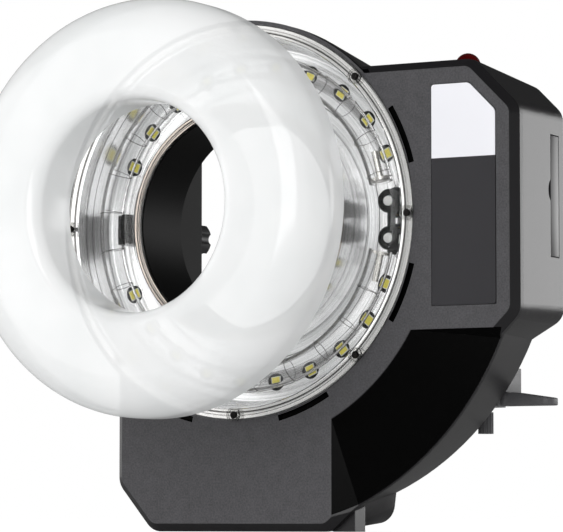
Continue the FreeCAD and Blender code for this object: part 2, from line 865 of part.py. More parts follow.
FEET = ("foot_across", "- foot_across")
BRACKET_SCREWS = ("bracket_left + 3.2", "lever_step - 3.2")


def make_window(name, half, start, end):
    """A square prism with rounded corners round the ring's axis."""
    body = new_body(name)
    sketch = sketch_on(body, name + "_outline", "XZ_Plane", "- ( %s )" % start)
    draw_outline(sketch, [("- " + half.replace("+", "-"), half), (half, half),
                          (half, "- " + half.replace("+", "-")),
                          ("- " + half.replace("+", "-"), "- " + half.replace("+", "-"))])
    pad = feature(body, "Pad", name + "_pad", sketch, Reversed=True)
    pad.setExpression("Length", "(%s) - (%s)" % (formula(end), formula(start)))
    doc.recompute()
    rounding = body.newObject("PartDesign::Fillet", name + "_corners")
    rounding.Base = (pad, edges_where(pad.Shape, spans_depth))
    bind(rounding, Radius="window_corner")
    return body


def flap_box(name, margin, depth, proud):
    """A box lying in the drafted right wall, round the flap's outline."""
    item = doc.addObject("Part::Box", name)
    item.setExpression("Length", "(%s) + (%s)" % (formula(depth), formula(proud)))
    item.setExpression("Width", formula("flap_back - flap_front") + " + 2 * (%s)" % formula(margin))
    item.setExpression("Height", formula("flap_top + flap_bottom") + " + 2 * (%s)" % formula(margin))
    lean = math.degrees(math.atan2(read("draft_right"), read("rear_face") - read("front_depth")))
    turn = Rotation(Vector(0, 0, 1), lean)
    middle_depth = (read("flap_front") + read("flap_back")) / 2
    wall = read("block_right") - read("draft_right") * (
        (middle_depth - read("front_depth")) / (read("rear_face") - read("front_depth")))
    half = (read("flap_back") - read("flap_front")) / 2 + amount(margin)
    corner = turn.multVec(Vector(-amount(depth), -half, 0))
    foot = Vector(wall, middle_depth, -read("flap_bottom") - amount(margin))
    item.Placement = Placement(foot + corner, turn)
    return item


def make_tunnel():
    """Round bore at the front that steps out to a square well at the back."""
    tube = turned("tunnel_tube", [
        ("bore_radius", "0"), ("bore_radius + tunnel_wall", "0"),
        ("bore_radius + tunnel_wall", "tunnel_round_depth"),
        ("bore_radius", "tunnel_round_depth"),
    ])
    outer = make_window("tunnel_outer", "window_half + window_wall", "tunnel_round_depth - tunnel_wall",
                        "rear_face")
    inner = make_window("tunnel_inner", "window_half", "tunnel_round_depth", "rear_face + 1")
    bore = rod("tunnel_bore", "y", "bore_radius", "- 1", "rear_face", ("0", "0"))
    keep(cut("tunnel_cut", join("tunnel_whole", tube, outer), inner, bore), "lens_tunnel")


def led_rows(body, name, original_of):
    """Two mirrored rows of ten features round the upper and the lower half of the ring."""
    for side, sign in (("upper", 1), ("lower", -1)):
        sketch = sketch_on(body, "%s_%s_sketch" % (name, side), "XZ_Plane", "0")
        first = original_of(sketch, sign)
        guide = (sketch, ["N_Axis"])
        doc.recompute()
        pattern = repeat(body, "%s_%s_row" % (name, side), first, guide, "10",
                         "Sizes.led_step_angle * 9")
        pattern.Reversed = sign < 0
        doc.recompute()


def place_on_led_circle(sketch, sign, geometry, point):
    """Hold a sketch point at the first LED's place."""
    for kind, trig in (("DistanceX", "cos"), ("DistanceY", "sin")):
        value = read("led_circle") * (math.cos if trig == "cos" else math.sin)(
            math.radians(read("led_first_angle")))
        text = "Sizes.led_circle * %s(Sizes.led_first_angle * 1 deg)" % trig
        if kind == "DistanceY" and sign < 0:
            constraint = Sketcher.Constraint(kind, geometry, point, -1, 1, value)
        else:
            constraint = Sketcher.Constraint(kind, -1, 1, geometry, point, value)
        number = sketch.addConstraint(constraint)
        sketch.renameConstraint(number, kind + "_led")
        sketch.setExpression("Constraints.%s_led" % kind, text)


def led_start(sign):
    angle = math.radians(read("led_first_angle"))
    return Vector(read("led_circle") * math.cos(angle), sign * read("led_circle") * math.sin(angle), 0)


def make_reflector():
    """Bright tray round the tube with a hole for each modelling LED and for each tube end."""
    body = turned("reflector_tray", [
        ("inner_flange_radius", "reflector_front"),
        ("reflector_inner_lip + reflector_wall", "reflector_front"),
        ("reflector_inner_heel + reflector_wall", "reflector_floor"),
        ("reflector_heel_radius - reflector_wall", "reflector_floor"),
        ("reflector_lip_radius - reflector_wall", "reflector_front"),
        ("flange_radius", "reflector_front"),
        ("flange_radius", "reflector_front + reflector_wall"),
        ("reflector_lip_radius", "reflector_front + reflector_wall"),
        ("reflector_heel_radius", "reflector_floor + reflector_wall"),
        ("reflector_inner_heel", "reflector_floor + reflector_wall"),
        ("reflector_inner_lip", "reflector_front + reflector_wall"),
        ("inner_flange_radius", "reflector_front + reflector_wall"),
    ])
    doc.recompute()

    def hole(sketch, sign):
        sketch.addGeometry(Part.Circle(led_start(sign), Vector(0, 0, 1), read("led_hole_radius")))
        held = sketch.addConstraint(Sketcher.Constraint("Radius", 0, read("led_hole_radius")))
        sketch.renameConstraint(held, "Radius_led")
        sketch.setExpression("Constraints.Radius_led", "Sizes.led_hole_radius")
        place_on_led_circle(sketch, sign, 0, 3)
        return feature(body, "Pocket", "led_hole_%d" % (sign + 1), sketch, Type="ThroughAll",
                       Midplane=False)

    before = body.Shape.Volume
    led_rows(body, "led_hole", hole)
    one_hole = math.pi * read("led_hole_radius") ** 2 * read("reflector_wall")
    if body.Shape.Volume > before - 19 * one_hole:
        raise RuntimeError("the LED holes were not cut")
    ways = [rod("sleeve_way_%d" % number, "y", "sleeve_hole_radius", "reflector_floor - 1",
                "reflector_floor + reflector_wall + 1", ("tube_circle", up))
            for number, up in enumerate(SLEEVE_HEIGHTS)]
    screw_ways = make_cover_screws("flange_holes", "screw_gap", "0")
    keep(cut("reflector_cut", body, screw_ways, *ways), "reflector_ring")


# How far above the ring's middle each end of the tube sits.
SLEEVE_HEIGHTS = ("sleeve_upper", "- sleeve_lower")


def make_leds():
    """LED chips on their ring-shaped board behind the reflector."""
    front = "reflector_floor + reflector_wall + slip_gap"
    board = turned("led_board_ring", [
        ("led_board_inner", front), ("led_board_outer", front),
        ("led_board_outer", front + " + led_board_thick"),
        ("led_board_inner", front + " + led_board_thick"),
    ])
    ways = [rod("board_way_%d" % number, "y", "sleeve_radius + slip_gap", "reflector_floor",
                "reflector_floor + 6", ("tube_circle", up))
            for number, up in enumerate(SLEEVE_HEIGHTS)]
    keep(cut("led_board_cut", board, *ways), "led_board")

    body = new_body("led_chips")

    def chip(sketch, sign):
        seat = "- reflector_floor - reflector_wall - slip_gap + led_height"
        sketch.setExpression("AttachmentOffset.Base.z", formula(seat))
        middle = led_start(sign)
        half = read("led_side") / 2
        steps = ((-half, -half), (half, -half), (half, half), (-half, half))
        points = [middle + Vector(x, y, 0) for x, y in steps]
        for number in range(4):
            sketch.addGeometry(Part.LineSegment(points[number], points[(number + 1) % 4]))
        sketch.addGeometry(Part.Point(middle), True)
        for number in range(4):
            sketch.addConstraint(Sketcher.Constraint("Coincident", number, 2, (number + 1) % 4, 1))
        for number in (0, 2):
            sketch.addConstraint(Sketcher.Constraint("Horizontal", number))
            sketch.addConstraint(Sketcher.Constraint("Vertical", number + 1))
        for number, label in ((0, "Across"), (1, "Up")):
            held = sketch.addConstraint(Sketcher.Constraint("Distance", number, read("led_side")))
            sketch.renameConstraint(held, label)
            sketch.setExpression("Constraints." + label, "Sizes.led_side")
        sketch.addConstraint(Sketcher.Constraint("Symmetric", 0, 1, 1, 2, 4, 1))
        place_on_led_circle(sketch, sign, 4, 1)
        return pad_back(body, "led_chip_%d" % (sign + 1), sketch, "led_height")

    led_rows(body, "led_chip", chip)
    keep(body, "modelling_leds")


def tube_end_angle():
    """The angle where the glass ends, just short of the end sleeve."""
    reach = read("sleeve_lower") + read("sleeve_radius") + read("slip_gap")
    return math.degrees(math.asin(reach / read("tube_circle")))


def make_flash_tube():
    """Glass ring open at the right, with an electrode on its plug in each end."""
    open_angle = tube_end_angle()
    turn = Rotation(Vector(0, 1, 0), -open_angle).multiply(Rotation(Vector(1, 0, 0), 90))
    halves = []
    for name, radius in (("glass_outside", "tube_radius"),
                         ("glass_inside", "tube_radius - tube_glass_wall")):
        torus = doc.addObject("Part::Torus", name)
        bind(torus, Radius1="tube_circle", Radius2=radius)
        torus.Angle3 = 360 - 2 * open_angle
        torus.Placement = Placement(Vector(), turn)
        put(torus, y="tube_depth")
        halves.append(torus)
    keep(cut("glass_cut", halves[0], halves[1]), "flash_tube")

    ends_made = []
    for number, sign in enumerate((1, -1)):
        body = new_body("electrode_%d" % number)
        sketch = sketch_on(body, "electrode_profile_%d" % number, "XY_Plane")
        draw_outline(sketch, [("0.01", "- 1"), ("tube_radius - tube_glass_wall - 0.1", "- 1"),
                              ("tube_radius - tube_glass_wall - 0.1", "0.4"), ("electrode_radius", "0.4"),
                              ("electrode_radius", "electrode_length"), ("0.01", "electrode_length")])
        spin = feature(body, "Revolution", "electrode_turn_%d" % number, sketch, Angle=360.0)
        spin.ReferenceAxis = (sketch, ["V_Axis"])
        angle = math.radians(open_angle + 1.2) * sign
        place = Vector(math.cos(angle), 0, math.sin(angle)) * read("tube_circle")
        along = Vector(-math.sin(angle), 0, math.cos(angle)) * sign
        body.Placement = Placement(place + Vector(0, read("tube_depth"), 0),
                                   Rotation(Vector(0, 1, 0), along))
        ends_made.append(body)
    keep(group("electrode_pair", *ends_made), "tube_electrodes")


def biarc(start, start_way, end, end_way):
    """Two tangent arcs from one point and direction to another."""
    gap = end - start
    both = start_way + end_way
    drop = 2 * (1 - start_way.dot(end_way))
    reach = (-gap.dot(both) + math.sqrt(gap.dot(both) ** 2 + drop * gap.dot(gap))) / drop
    middle = (start + end + (start_way - end_way) * reach) * 0.5
    return [arc_from(start, start_way, middle), arc_from(end, -end_way, middle)]


def arc_from(start, way, end):
    """The arc that leaves a point in a direction and ends at another point."""
    chord = end - start
    side = chord - way * chord.dot(way)
    radius = chord.dot(chord) / (2 * side.Length)
    centre = start + side.normalize() * radius
    half = (start + end) * 0.5 - centre
    return Part.Arc(start, centre + half.normalize() * radius, end)


WIRE_TURNS = 23


def make_trigger_wire():
    """The trigger wire: one unbroken winding of open turns along the whole glass ring."""
    ring = read("tube_circle")
    coil = read("tube_radius") + read("wire_clearance") + read("wire_diameter") / 2
    first = math.radians(tube_end_angle() + 1.5)
    last = 2 * math.pi - first

    def point(share):
        along = first + (last - first) * share
        turn = 2 * math.pi * WIRE_TURNS * share
        out = ring + coil * math.cos(turn)
        return Vector(out * math.cos(along), read("tube_depth") + coil * math.sin(turn),
                      out * math.sin(along))

    def way(share):
        step = 1e-5
        return (point(share + step) - point(share - step)).normalize()

    count = WIRE_TURNS * 4
    edges = []
    for number in range(count):
        begin = number / count
        finish = (number + 1) / count
        first_arc, second_arc = biarc(point(begin), way(begin), point(finish), way(finish))
        edges.append(first_arc.toShape())
        edges.append(second_arc.toShape())
    path = Part.Wire(Part.__sortEdges__(edges))
    section = Part.Wire(Part.makeCircle(read("wire_diameter") / 2, point(0), way(0)))
    shell = Part.BRepOffsetAPI.MakePipeShell(path)
    shell.add(section)
    shell.build()
    shell.makeSolid()
    item = doc.addObject("Part::Feature", "trigger_winding")
    item.Shape = shell.shape()
    keep(item, "trigger_wire")
    pitch = ring * (last - first) / WIRE_TURNS
    print("trigger wire: %d turns, least gap to itself %.2f mm" % (WIRE_TURNS, own_gap(point, pitch)))
    expected = math.pi * (read("wire_diameter") / 2) ** 2 * path.Length
    print("trigger wire: volume %.1f, section times length %.1f" % (item.Shape.Volume, expected))


def own_gap(point, pitch):
    """The least distance between turns, measured on points, less the wire's own thickness."""
    samples = [point(number / 2300.0) for number in range(2301)]
    per_turn = 100
    best = pitch
    for number in range(0, len(samples) - per_turn, 7):
        for other in range(number + per_turn // 2, min(number + 2 * per_turn, len(samples)), 3):
            best = min(best, samples[number].distanceToPoint(samples[other]))
    return best - read("wire_diameter")


def make_tube_ends():
    """Rubber boots joined by a web, with a white cap on each, and the clip opposite them."""
    boots = [rod("boot_%d" % number, "y", "sleeve_radius", "sleeve_front", "sleeve_back",
                 ("tube_circle", up)) for number, up in enumerate(SLEEVE_HEIGHTS)]
    web = box("boot_web", ("tube_circle - web_width / 2", "tube_circle + web_width / 2"),
              ("sleeve_front + 2", "sleeve_front + 2 + web_depth"),
              ("- sleeve_lower", "sleeve_upper"))
    keep(join("boot_pair", boots[0], web, boots[1]), "tube_end_boots")
    caps = [rod("white_cap_%d" % number, "y", "cap_radius", "sleeve_front - cap_height", "sleeve_front",
                ("tube_circle", up)) for number, up in enumerate(SLEEVE_HEIGHTS)]
    keep(group("white_caps", *caps), "boot_caps")

    block = box("clip_block", ("- tube_circle", "- tube_circle + clip_width"),
                ("clip_front", "reflector_floor"), ("- clip_length / 2", "clip_length / 2"))
    saddle = doc.addObject("Part::Torus", "clip_saddle")
    bind(saddle, Radius1="tube_circle", Radius2="tube_radius + wire_diameter + wire_clearance * 2")
    saddle.Placement = Placement(Vector(), Rotation(Vector(1, 0, 0), 90))
    put(saddle, y="tube_depth")
    keep(cut("clip_cut", block, saddle), "tube_clip")


def make_cover():
    """Clear ring cover: flat flanges at both rims and a low dome over the tube."""
    inner = "bore_radius + bore_gap"
    foot = "cover_radius - cover_flange"
    shoulder = "bore_radius + bore_gap + cover_inner_flange"
    body = turned("cover_ring", [
        (inner, "- cover_inner_height"),
        (shoulder, "- cover_inner_height"),
        (shoulder + " + 6", "- cover_dome"),
        (foot + " - 6", "- cover_dome"),
        (foot, "- cover_flange_height"),
        ("cover_radius", "- cover_flange_height"),
        ("cover_radius", "0"),
        (foot + " - cover_thickness", "0"),
        (foot + " - 6 - cover_thickness / 2", "- cover_dome + cover_thickness"),
        (shoulder + " + 6 + cover_thickness / 2", "- cover_dome + cover_thickness"),
        (shoulder + " + cover_thickness", "0"),
        (inner, "0"),
    ])
    holes = make_cover_screws("cover_holes", "screw_gap", "0")
    limit = rod("cover_limit", "y", "cover_radius", "- cover_dome", "0", ("0", "0"))
    bosses = doc.addObject("Part::Common", "cover_bosses_trimmed")
    bosses.Base = make_cover_bosses()
    bosses.Tool = limit
    keep(cut("cover_cut", join("cover_whole", body, bosses), holes), "clear_cover")
    keep(make_cover_screws("cover_screw_set", "0", "1"), "cover_screws")


def make_cover_bosses():
    """A low round wall about each cover screw, trimmed at the cover's rim."""
    body = new_body("cover_bosses")
    sketch = sketch_on(body, "cover_bosses_profile", "XY_Plane")
    inner = "screw_circle + boss_radius - boss_wall"
    outer = "screw_circle + boss_radius"
    top = "- cover_flange_height - boss_height"
    foot = "- cover_flange_height + boss_wall"
    draw_outline(sketch, [(inner, top), (outer, top), (outer, foot), (inner, foot)])
    sketch.addGeometry(Part.LineSegment(Vector(amount("screw_circle"), -5, 0),
                                        Vector(amount("screw_circle"), 5, 0)), True)
    tie(sketch, "DistanceX", 4, 1, "screw_circle")
    sketch.addConstraint(Sketcher.Constraint("Vertical", 4))
    boss = feature(body, "Revolution", "cover_boss_turn", sketch, Angle=360.0)
    boss.ReferenceAxis = (sketch, ["Axis0"])
    doc.recompute()
    guide = sketch_on(body, "cover_bosses_guide", "XZ_Plane")
    repeat(body, "cover_bosses_ring", boss, (guide, ["N_Axis"]), "Sizes.screw_count")
    return body


def make_label_and_sensor():
    keep(make_label("label_solid", "0", "0"), "label_plate")
    stem = rod("sensor_stem", "z", "sensor_radius", "sensor_foot", "sensor_seat",
               ("sensor_across", "sensor_back"))
    ball = doc.addObject("Part::Sphere", "sensor_ball")
    bind(ball, Radius="sensor_radius")
    put(ball, "sensor_across", "sensor_back", "sensor_seat")
    clear = box("sensor_clear", ("sensor_across - 10", "sensor_across + 10"),
                ("sensor_back - 10", "sensor_back + 10"), ("sensor_foot - 20", "sensor_foot"))
    keep(cut("sensor_cut", join("sensor_whole", stem, ball), clear), "sensor_dome")
    keep(box("sensor_board_plate", ("sensor_across - 9", "sensor_across + 9"),
             ("sensor_back - 8", "sensor_back + 8"),
             ("sensor_foot - slip_gap - board_thick", "sensor_foot - slip_gap")), "sensor_board")


def make_flap():
    """Rubber flap flush in the right wall, with the sockets behind it."""
    plate = flap_box("flap_plate", "0", "flap_thickness", "0")
    bead = doc.addObject("Part::Cylinder", "flap_bead")
    bind(bead, Radius="flap_thickness / 2", Height="flap_top + flap_bottom")
    width = read("flap_back") - read("flap_front")
    edge = Vector(read("flap_thickness") / 2, width - read("flap_bead_inset"), 0)
    bead.Placement = Placement(plate.Placement.multVec(edge), plate.Placement.Rotation)
    keep(join("flap_whole", plate, bead), "port_flap")
    back = "block_right - draft_right - shell_wall - slip_gap"
    block = box("socket_body", (back + " - 8", back), ("flap_front + 1", "flap_back - 1"),
                ("- flap_bottom + 1", "flap_top - 1"))
    depth = (back + " - 5", back + " + 1")
    middle = "flap_front / 2 + flap_back / 2"
    jacks = [rod("jack_%d" % number, "x", "1.8", depth[0], depth[1], (middle, up))
             for number, up in enumerate(("flap_top - 11", "flap_top - 24"))]
    data = box("data_port", depth, (middle + " - 1.5", middle + " + 1.5"), ("- 14", "- 6"))
    keep(cut("socket_cut", block, *jacks, data), "socket_block")


def make_controls():
    """Display, buttons, dial and switch on the back of the block, with the boards behind them."""
    inner = "rear_face - shell_wall"
    keep(box("display_pane", ("display_left", "display_right"),
             ("rear_face - display_glass", "rear_face"), ("display_low", "display_high")),
         "display_window")
    module_front = inner + " - slip_gap - module_thick"
    keep(box("display_block", ("display_left", "display_right"), (module_front, inner + " - slip_gap"),
             ("display_low", "display_high")), "display_module")
    board_back = module_front
    board_front = board_back + " - board_thick"
    plate = box("control_plate", ("board_left", "board_right"), (board_front, board_back),
                ("- board_low", "board_high"))
    keep(plate, "control_board")
    keep(box("power_plate", ("board_left", "board_right"),
             ("power_board_front", "power_board_front + board_thick"),
             ("- board_low", "board_high")), "power_board")
    spacers = []
    for across in ("board_left + spacer_inset", "board_right - spacer_inset"):
        for up in ("- board_low + spacer_inset", "board_high - spacer_inset"):
            spacers.append(rod("spacer_%d" % len(spacers), "y", "spacer_radius",
                               "power_board_front + board_thick", board_front, (across, up)))
    keep(group("spacer_set", *spacers), "board_spacers")
    for number, node in enumerate(("mode_button", "group_button", "sync_button", "lamp_button")):
        across = "button_first + button_step * %d" % number
        cap = turned(node + "_cap", [
            ("0", board_back + " + button_travel + slip_gap"),
            ("button_radius + button_lip", board_back + " + button_travel + slip_gap"),
            ("button_radius + button_lip", inner + " - slip_gap"),
            ("button_radius", inner + " - slip_gap"),
            ("button_radius", "rear_face + button_proud"),
            ("0", "rear_face + button_proud"),
        ], (across, "0", "button_row"))
        keep(cap, node)
    dial = turned("dial_ring", [
        ("dial_bore_radius", board_back + " + button_travel + slip_gap"),
        ("dial_stem_radius", board_back + " + button_travel + slip_gap"),
        ("dial_stem_radius", "rear_face + slip_gap"),
        ("dial_radius", "rear_face + slip_gap"),
        ("dial_radius", "rear_face + dial_height"),
        ("dial_bore_radius", "rear_face + dial_height"),
    ], ("dial_across", "0", "- dial_down"))
    doc.recompute()
    groove = round_sketch(dial, "dial_groove_sketch", "XZ_Plane", "- rear_face - slip_gap - 1",
                          ("dial_radius", "0"), "dial_groove_radius")
    pocket = feature(dial, "Pocket", "dial_groove", groove, Reversed=False)
    bind(pocket, Length="dial_height + 2")
    doc.recompute()
    repeat(dial, "dial_grip", pocket, (groove, ["N_Axis"]), "Sizes.dial_grooves")
    keep(dial, "control_dial")
    keep(turned("set_cap", [
        ("0", board_back + " + button_travel + slip_gap"),
        ("set_radius", board_back + " + button_travel + slip_gap"),
        ("set_radius", "rear_face + dial_height + button_travel"),
        ("0", "rear_face + dial_height + button_travel"),
    ], ("dial_across", "0", "- dial_down")), "set_button")
    across = ("switch_across - switch_length / 2", "switch_across + switch_length / 2")
    knob = box("switch_knob", across, (inner + " - slip_gap", "rear_face + switch_proud"),
               ("- switch_down - switch_height / 2", "- switch_down + switch_height / 2"))
    shoe = box("switch_shoe", (across[0] + " - 1", across[1] + " + 1"),
               (inner + " - 2.3", inner + " - slip_gap"),
               ("- switch_down - switch_height / 2 - 1.5", "- switch_down + switch_height / 2 + 1.5"))
    keep(join("switch_whole", knob, shoe), "power_switch")


def make_inside_power():
    """Main capacitors and trigger coil on the front of the power board."""
    cans = []
    for number in range(2):
        centre = ("capacitor_first + capacitor_step * %d" % number,
                  "power_board_front - slip_gap - capacitor_radius")
        cans.append(rod("can_%d" % number, "z", "capacitor_radius", "- capacitor_low",
                        "capacitor_high", centre))
    keep(group("can_pair", *cans), "main_capacitors")
    keep(box("coil_block", ("board_left + 4", "board_left + 4 + coil_side"),
             ("power_board_front - coil_side", "power_board_front"),
             ("- coil_length / 2", "coil_length / 2")), "trigger_coil")


def make_battery():
    """Battery pack in its open-backed bay, with contacts and a sliding latch."""
    inner = "rear_face - shell_wall"
    pack = box("battery_block", ("- battery_left", "battery_right"),
               ("battery_front", "rear_face + battery_proud"), ("- battery_low", "- battery_high"))
    grip = rod("battery_grip", "x", "4", "- battery_left / 2", "battery_right / 2",
               ("rear_face + battery_proud + 1", "- battery_low + 8"))
    keep(cut("battery_cut", pack, grip), "battery_pack")
    outer = box("bay_outer",
                ("- battery_left - bay_gap - bay_wall", "battery_right + bay_gap + bay_wall"),
                ("battery_front - 2 - bay_wall", inner + " - slip_gap"),
                ("- battery_low - bay_gap - bay_wall", "- battery_high + bay_gap + bay_wall"))
    hollow = box("bay_hollow", ("- battery_left - bay_gap", "battery_right + bay_gap"),
                 ("battery_front - 2", "rear_face"),
                 ("- battery_low - bay_gap", "- battery_high + bay_gap"))
    keep(cut("bay_cut", outer, hollow), "battery_bay")
    keep(box("contact_strip", ("- 20", "10"),
             ("battery_front - 2", "battery_front - 2 + contact_thick"),
             ("- battery_high - 32", "- battery_high - 22")), "battery_contacts")
    paddle = box("latch_paddle", ("- latch_left", "latch_right"),
                 ("rear_face + slip_gap", "rear_face + latch_proud"), ("- latch_low", "- latch_high"))
    stem = box("latch_stem_block", ("- latch_left + latch_stem - 1", "latch_right - latch_stem + 3"),
               (inner + " - 2", "rear_face + slip_gap"), ("- latch_low + 2", "- latch_high - 2"))
    keep(join("latch_whole", paddle, stem), "battery_latch")


def make_bracket():
    """Camera bracket clamp behind the lower right: block, paddle lever on a pin, ribbed knob."""
    block = box("bracket_body", ("bracket_left", "bracket_right"), ("rear_face", "bracket_back"),
                ("- bracket_low", "- bracket_top"))
    slot = box("bracket_slot", ("bracket_slot_left", "bracket_slot_right"),
               ("bracket_slot_front", "bracket_slot_back"), ("- bracket_low - 1", "- bracket_top + 1"))
    notch = box("bracket_notch", ("lever_step", "bracket_right + 1"),
                ("rear_face + 3", "bracket_back + 1"),
                ("- bracket_low - 1", "- bracket_low + lever_root_height + slip_gap * 2"))
    pivot = ("lever_pivot", "lever_middle")
    pin_way = rod("pin_way", "z", "pin_radius", "- bracket_low - 1", "- bracket_top - 4", pivot)
    neck_way = rod("neck_way", "z", "knob_neck_radius + shaft_gap", "- bracket_low - 1",
                   "- bracket_top - 8", ("knob_across", "lever_middle"))
    screws = [rod("bracket_screw_way_%d" % number, "y", "post_screw_radius", "rear_face - 1",
                  "rear_face + 6", (across, "- bracket_middle"))
              for number, across in enumerate(BRACKET_SCREWS)]
    keep(cut("bracket_cut", block, slot, notch, pin_way, neck_way, *screws), "bracket_block")
    heads = []
    for number, across in enumerate(BRACKET_SCREWS):
        shank = rod("bracket_shank_%d" % number, "y", "post_screw_radius", "rear_face - shell_wall - 0.5",
                    "rear_face + 6", (across, "- bracket_middle"))
        head = rod("bracket_head_%d" % number, "y", "post_head_radius",
                   "rear_face - shell_wall - post_head_height", "rear_face - shell_wall",
                   (across, "- bracket_middle"))
        heads.append(join("bracket_screw_%d" % number, shank, head))
    keep(group("bracket_screw_set", *heads), "bracket_screws")

    low = "- bracket_low + slip_gap"
    high = "- bracket_low + slip_gap + lever_root_height"
    hub = rod("lever_hub", "z", "lever_hub_radius", low, high, pivot)
    paddle = new_body("lever_paddle")
    sketch = sketch_on(paddle, "lever_side", "XZ_Plane", "- lever_middle + lever_width / 2")
    draw_outline(sketch, [("lever_pivot", low), ("lever_reach", low),
                          ("lever_reach", low + " + lever_tip_height"),
                          ("lever_pivot + lever_hub_radius", high), ("lever_pivot", high)])
    pad_back(paddle, "lever_pad", sketch, "lever_width")
    pin_hole = rod("lever_eye", "z", "pin_radius + shaft_gap", "- bracket_low - 1", "- bracket_top",
                   pivot)
    keep(cut("lever_cut", join("lever_whole", hub, paddle), pin_hole), "clamp_lever")
    keep(rod("lever_pin_rod", "z", "pin_radius", "- bracket_low + slip_gap", "- bracket_top - 4",
             pivot), "lever_pin")

    knob = new_body("knob_grip")
    profile = sketch_on(knob, "knob_profile", "XZ_Plane")
    draw_outline(profile, [
        ("0", "- knob_bottom"), ("knob_radius", "- knob_bottom"), ("knob_radius", "- knob_top"),
        ("knob_neck_radius", "- knob_top"), ("knob_neck_radius", "- bracket_top - 9"),
        ("0", "- bracket_top - 9"),
    ])
    spin = feature(knob, "Revolution", "knob_turn", profile, Angle=360.0)
    spin.ReferenceAxis = (profile, ["V_Axis"])
    doc.recompute()
    groove = round_sketch(knob, "knob_groove_sketch", "XY_Plane", "- knob_bottom - 1",
                          ("knob_radius + 0.2", "0"), "wire_diameter * 1.2")
    pocket = feature(knob, "Pocket", "knob_groove", groove, Reversed=True)
    bind(pocket, Length="knob_bottom - knob_top + 2")
    doc.recompute()
    repeat(knob, "knob_ribs", pocket, (groove, ["N_Axis"]), "Sizes.knob_grooves")
    put(knob, "knob_across", "lever_middle", "0")
    keep(knob, "clamp_knob")


def make_thumb_knob():
    """Lobed thumb knob behind the left of the bore."""
    knob = turned("thumb_ring", [
        ("0", "rear_face - shell_wall - 4"),
        ("thumb_stem_radius + 1.5", "rear_face - shell_wall - 4"),
        ("thumb_stem_radius + 1.5", "rear_face - shell_wall - slip_gap"),
        ("thumb_stem_radius", "rear_face - shell_wall - slip_gap"),
        ("thumb_stem_radius", "rear_face + thumb_stand_off"),
        ("thumb_radius", "rear_face + thumb_stand_off"),
        ("thumb_radius", "rear_face + thumb_stand_off + thumb_height"),
        ("0", "rear_face + thumb_stand_off + thumb_height"),
    ], ("- thumb_across", "0", "- thumb_up"))
    doc.recompute()
    flute = round_sketch(knob, "thumb_flute_sketch", "XZ_Plane", "- rear_face - slip_gap - 1",
                         ("thumb_radius + thumb_flute_radius / 2", "0"), "thumb_flute_radius")
    pocket = feature(knob, "Pocket", "thumb_flute", flute, Reversed=False)
    bind(pocket, Length="thumb_height + thumb_stand_off + 2")
    doc.recompute()
    repeat(knob, "thumb_grip", pocket, (flute, ["N_Axis"]), "Sizes.thumb_lobes")
    keep(knob, "thumb_knob")


def make_fasteners_and_feet():
    screws = []
    for number, (across, up) in enumerate(POSTS):
        head = rod("shell_head_%d" % number, "y", "post_head_radius", "rear_face - post_head_height",
                   "rear_face - 0.3", (across, up))
        shank = rod("shell_shank_%d" % number, "y", "post_screw_radius",
                    "rear_face - post_screw_length", "rear_face - post_head_height + 0.3", (across, up))
        screws.append(join("shell_screw_%d" % number, head, shank))
    keep(group("shell_screw_set", *screws), "shell_screws")
    feet = [rod("foot_%d" % number, "z", "foot_radius", "- base_bottom", "- foot_seat",
                (across, "foot_back")) for number, across in enumerate(FEET)]
    keep(group("foot_pair", *feet), "rear_feet")


def make_diffuser():
    """Frosted ring that fits over the cover, taken off and held in front of it."""
    body = turned("diffuser_ring", [
        ("diffuser_hole", "- diffuser_rear"),
        ("diffuser_radius", "- diffuser_rear"),
        ("diffuser_radius", "- diffuser_rear - diffuser_depth"),
        ("diffuser_hole", "- diffuser_rear - diffuser_depth"),
    ])
    doc.recompute()
    face = -(read("diffuser_rear") + read("diffuser_depth"))
    base = body.Tip
    for name, radius, size in (("outer", "diffuser_radius", "diffuser_outer_round"),
                               ("inner", "diffuser_hole", "diffuser_inner_round")):
        rounding = body.newObject("PartDesign::Fillet", "diffuser_%s_round" % name)
        rim = read(radius)
        rounding.Base = (base, edges_where(base.Shape, lambda edge: (
            edge.Curve.TypeId == "Part::GeomCircle" and abs(edge.Curve.Radius - rim) < 1e-3
            and abs(edge.Curve.Center.y - face) < 1e-3)))
        bind(rounding, Radius=size)
        doc.recompute()
        base = rounding
    hollow = body.newObject("PartDesign::Thickness", "diffuser_hollow")
    rear = -read("diffuser_rear")
    open_face = ["Face%d" % (number + 1) for number, side in enumerate(base.Shape.Faces)
                 if abs(side.BoundBox.YMin - rear) < 1e-3]
    hollow.Base = (base, open_face)
    hollow.Reversed = True
    bind(hollow, Value="diffuser_wall")
    keep(body, "diffuser")


make_front_shell()
make_rear_shell()
make_tunnel()
make_reflector()
make_leds()
make_flash_tube()
make_trigger_wire()
make_tube_ends()
make_cover()
make_label_and_sensor()
make_flap()
make_controls()
make_inside_power()
make_battery()
make_bracket()
make_thumb_knob()
make_fasteners_and_feet()
make_diffuser()
doc.recompute()

failed = [item.Name for item in doc.Objects if "Invalid" in item.State or "Error" in item.State]
if failed:
    raise RuntimeError("these objects did not build: " + ", ".join(failed))
for node, item in parts:
    if item.Shape.isNull() or not item.Shape.isValid():
        raise RuntimeError(node + " has no valid shape")
os.makedirs("parts", exist_ok=True)
for node, item in parts:
    item.Shape.exportStep("parts/%s.step" % node)
    box_of = item.Shape.BoundBox
    print("%-18s %d solid(s) %9.0f mm3  X %.1f..%.1f  Y %.1f..%.1f  Z %.1f..%.1f" % (
        node, len(item.Shape.Solids), item.Shape.Volume, box_of.XMin, box_of.XMax,
        box_of.YMin, box_of.YMax, box_of.ZMin, box_of.ZMax))
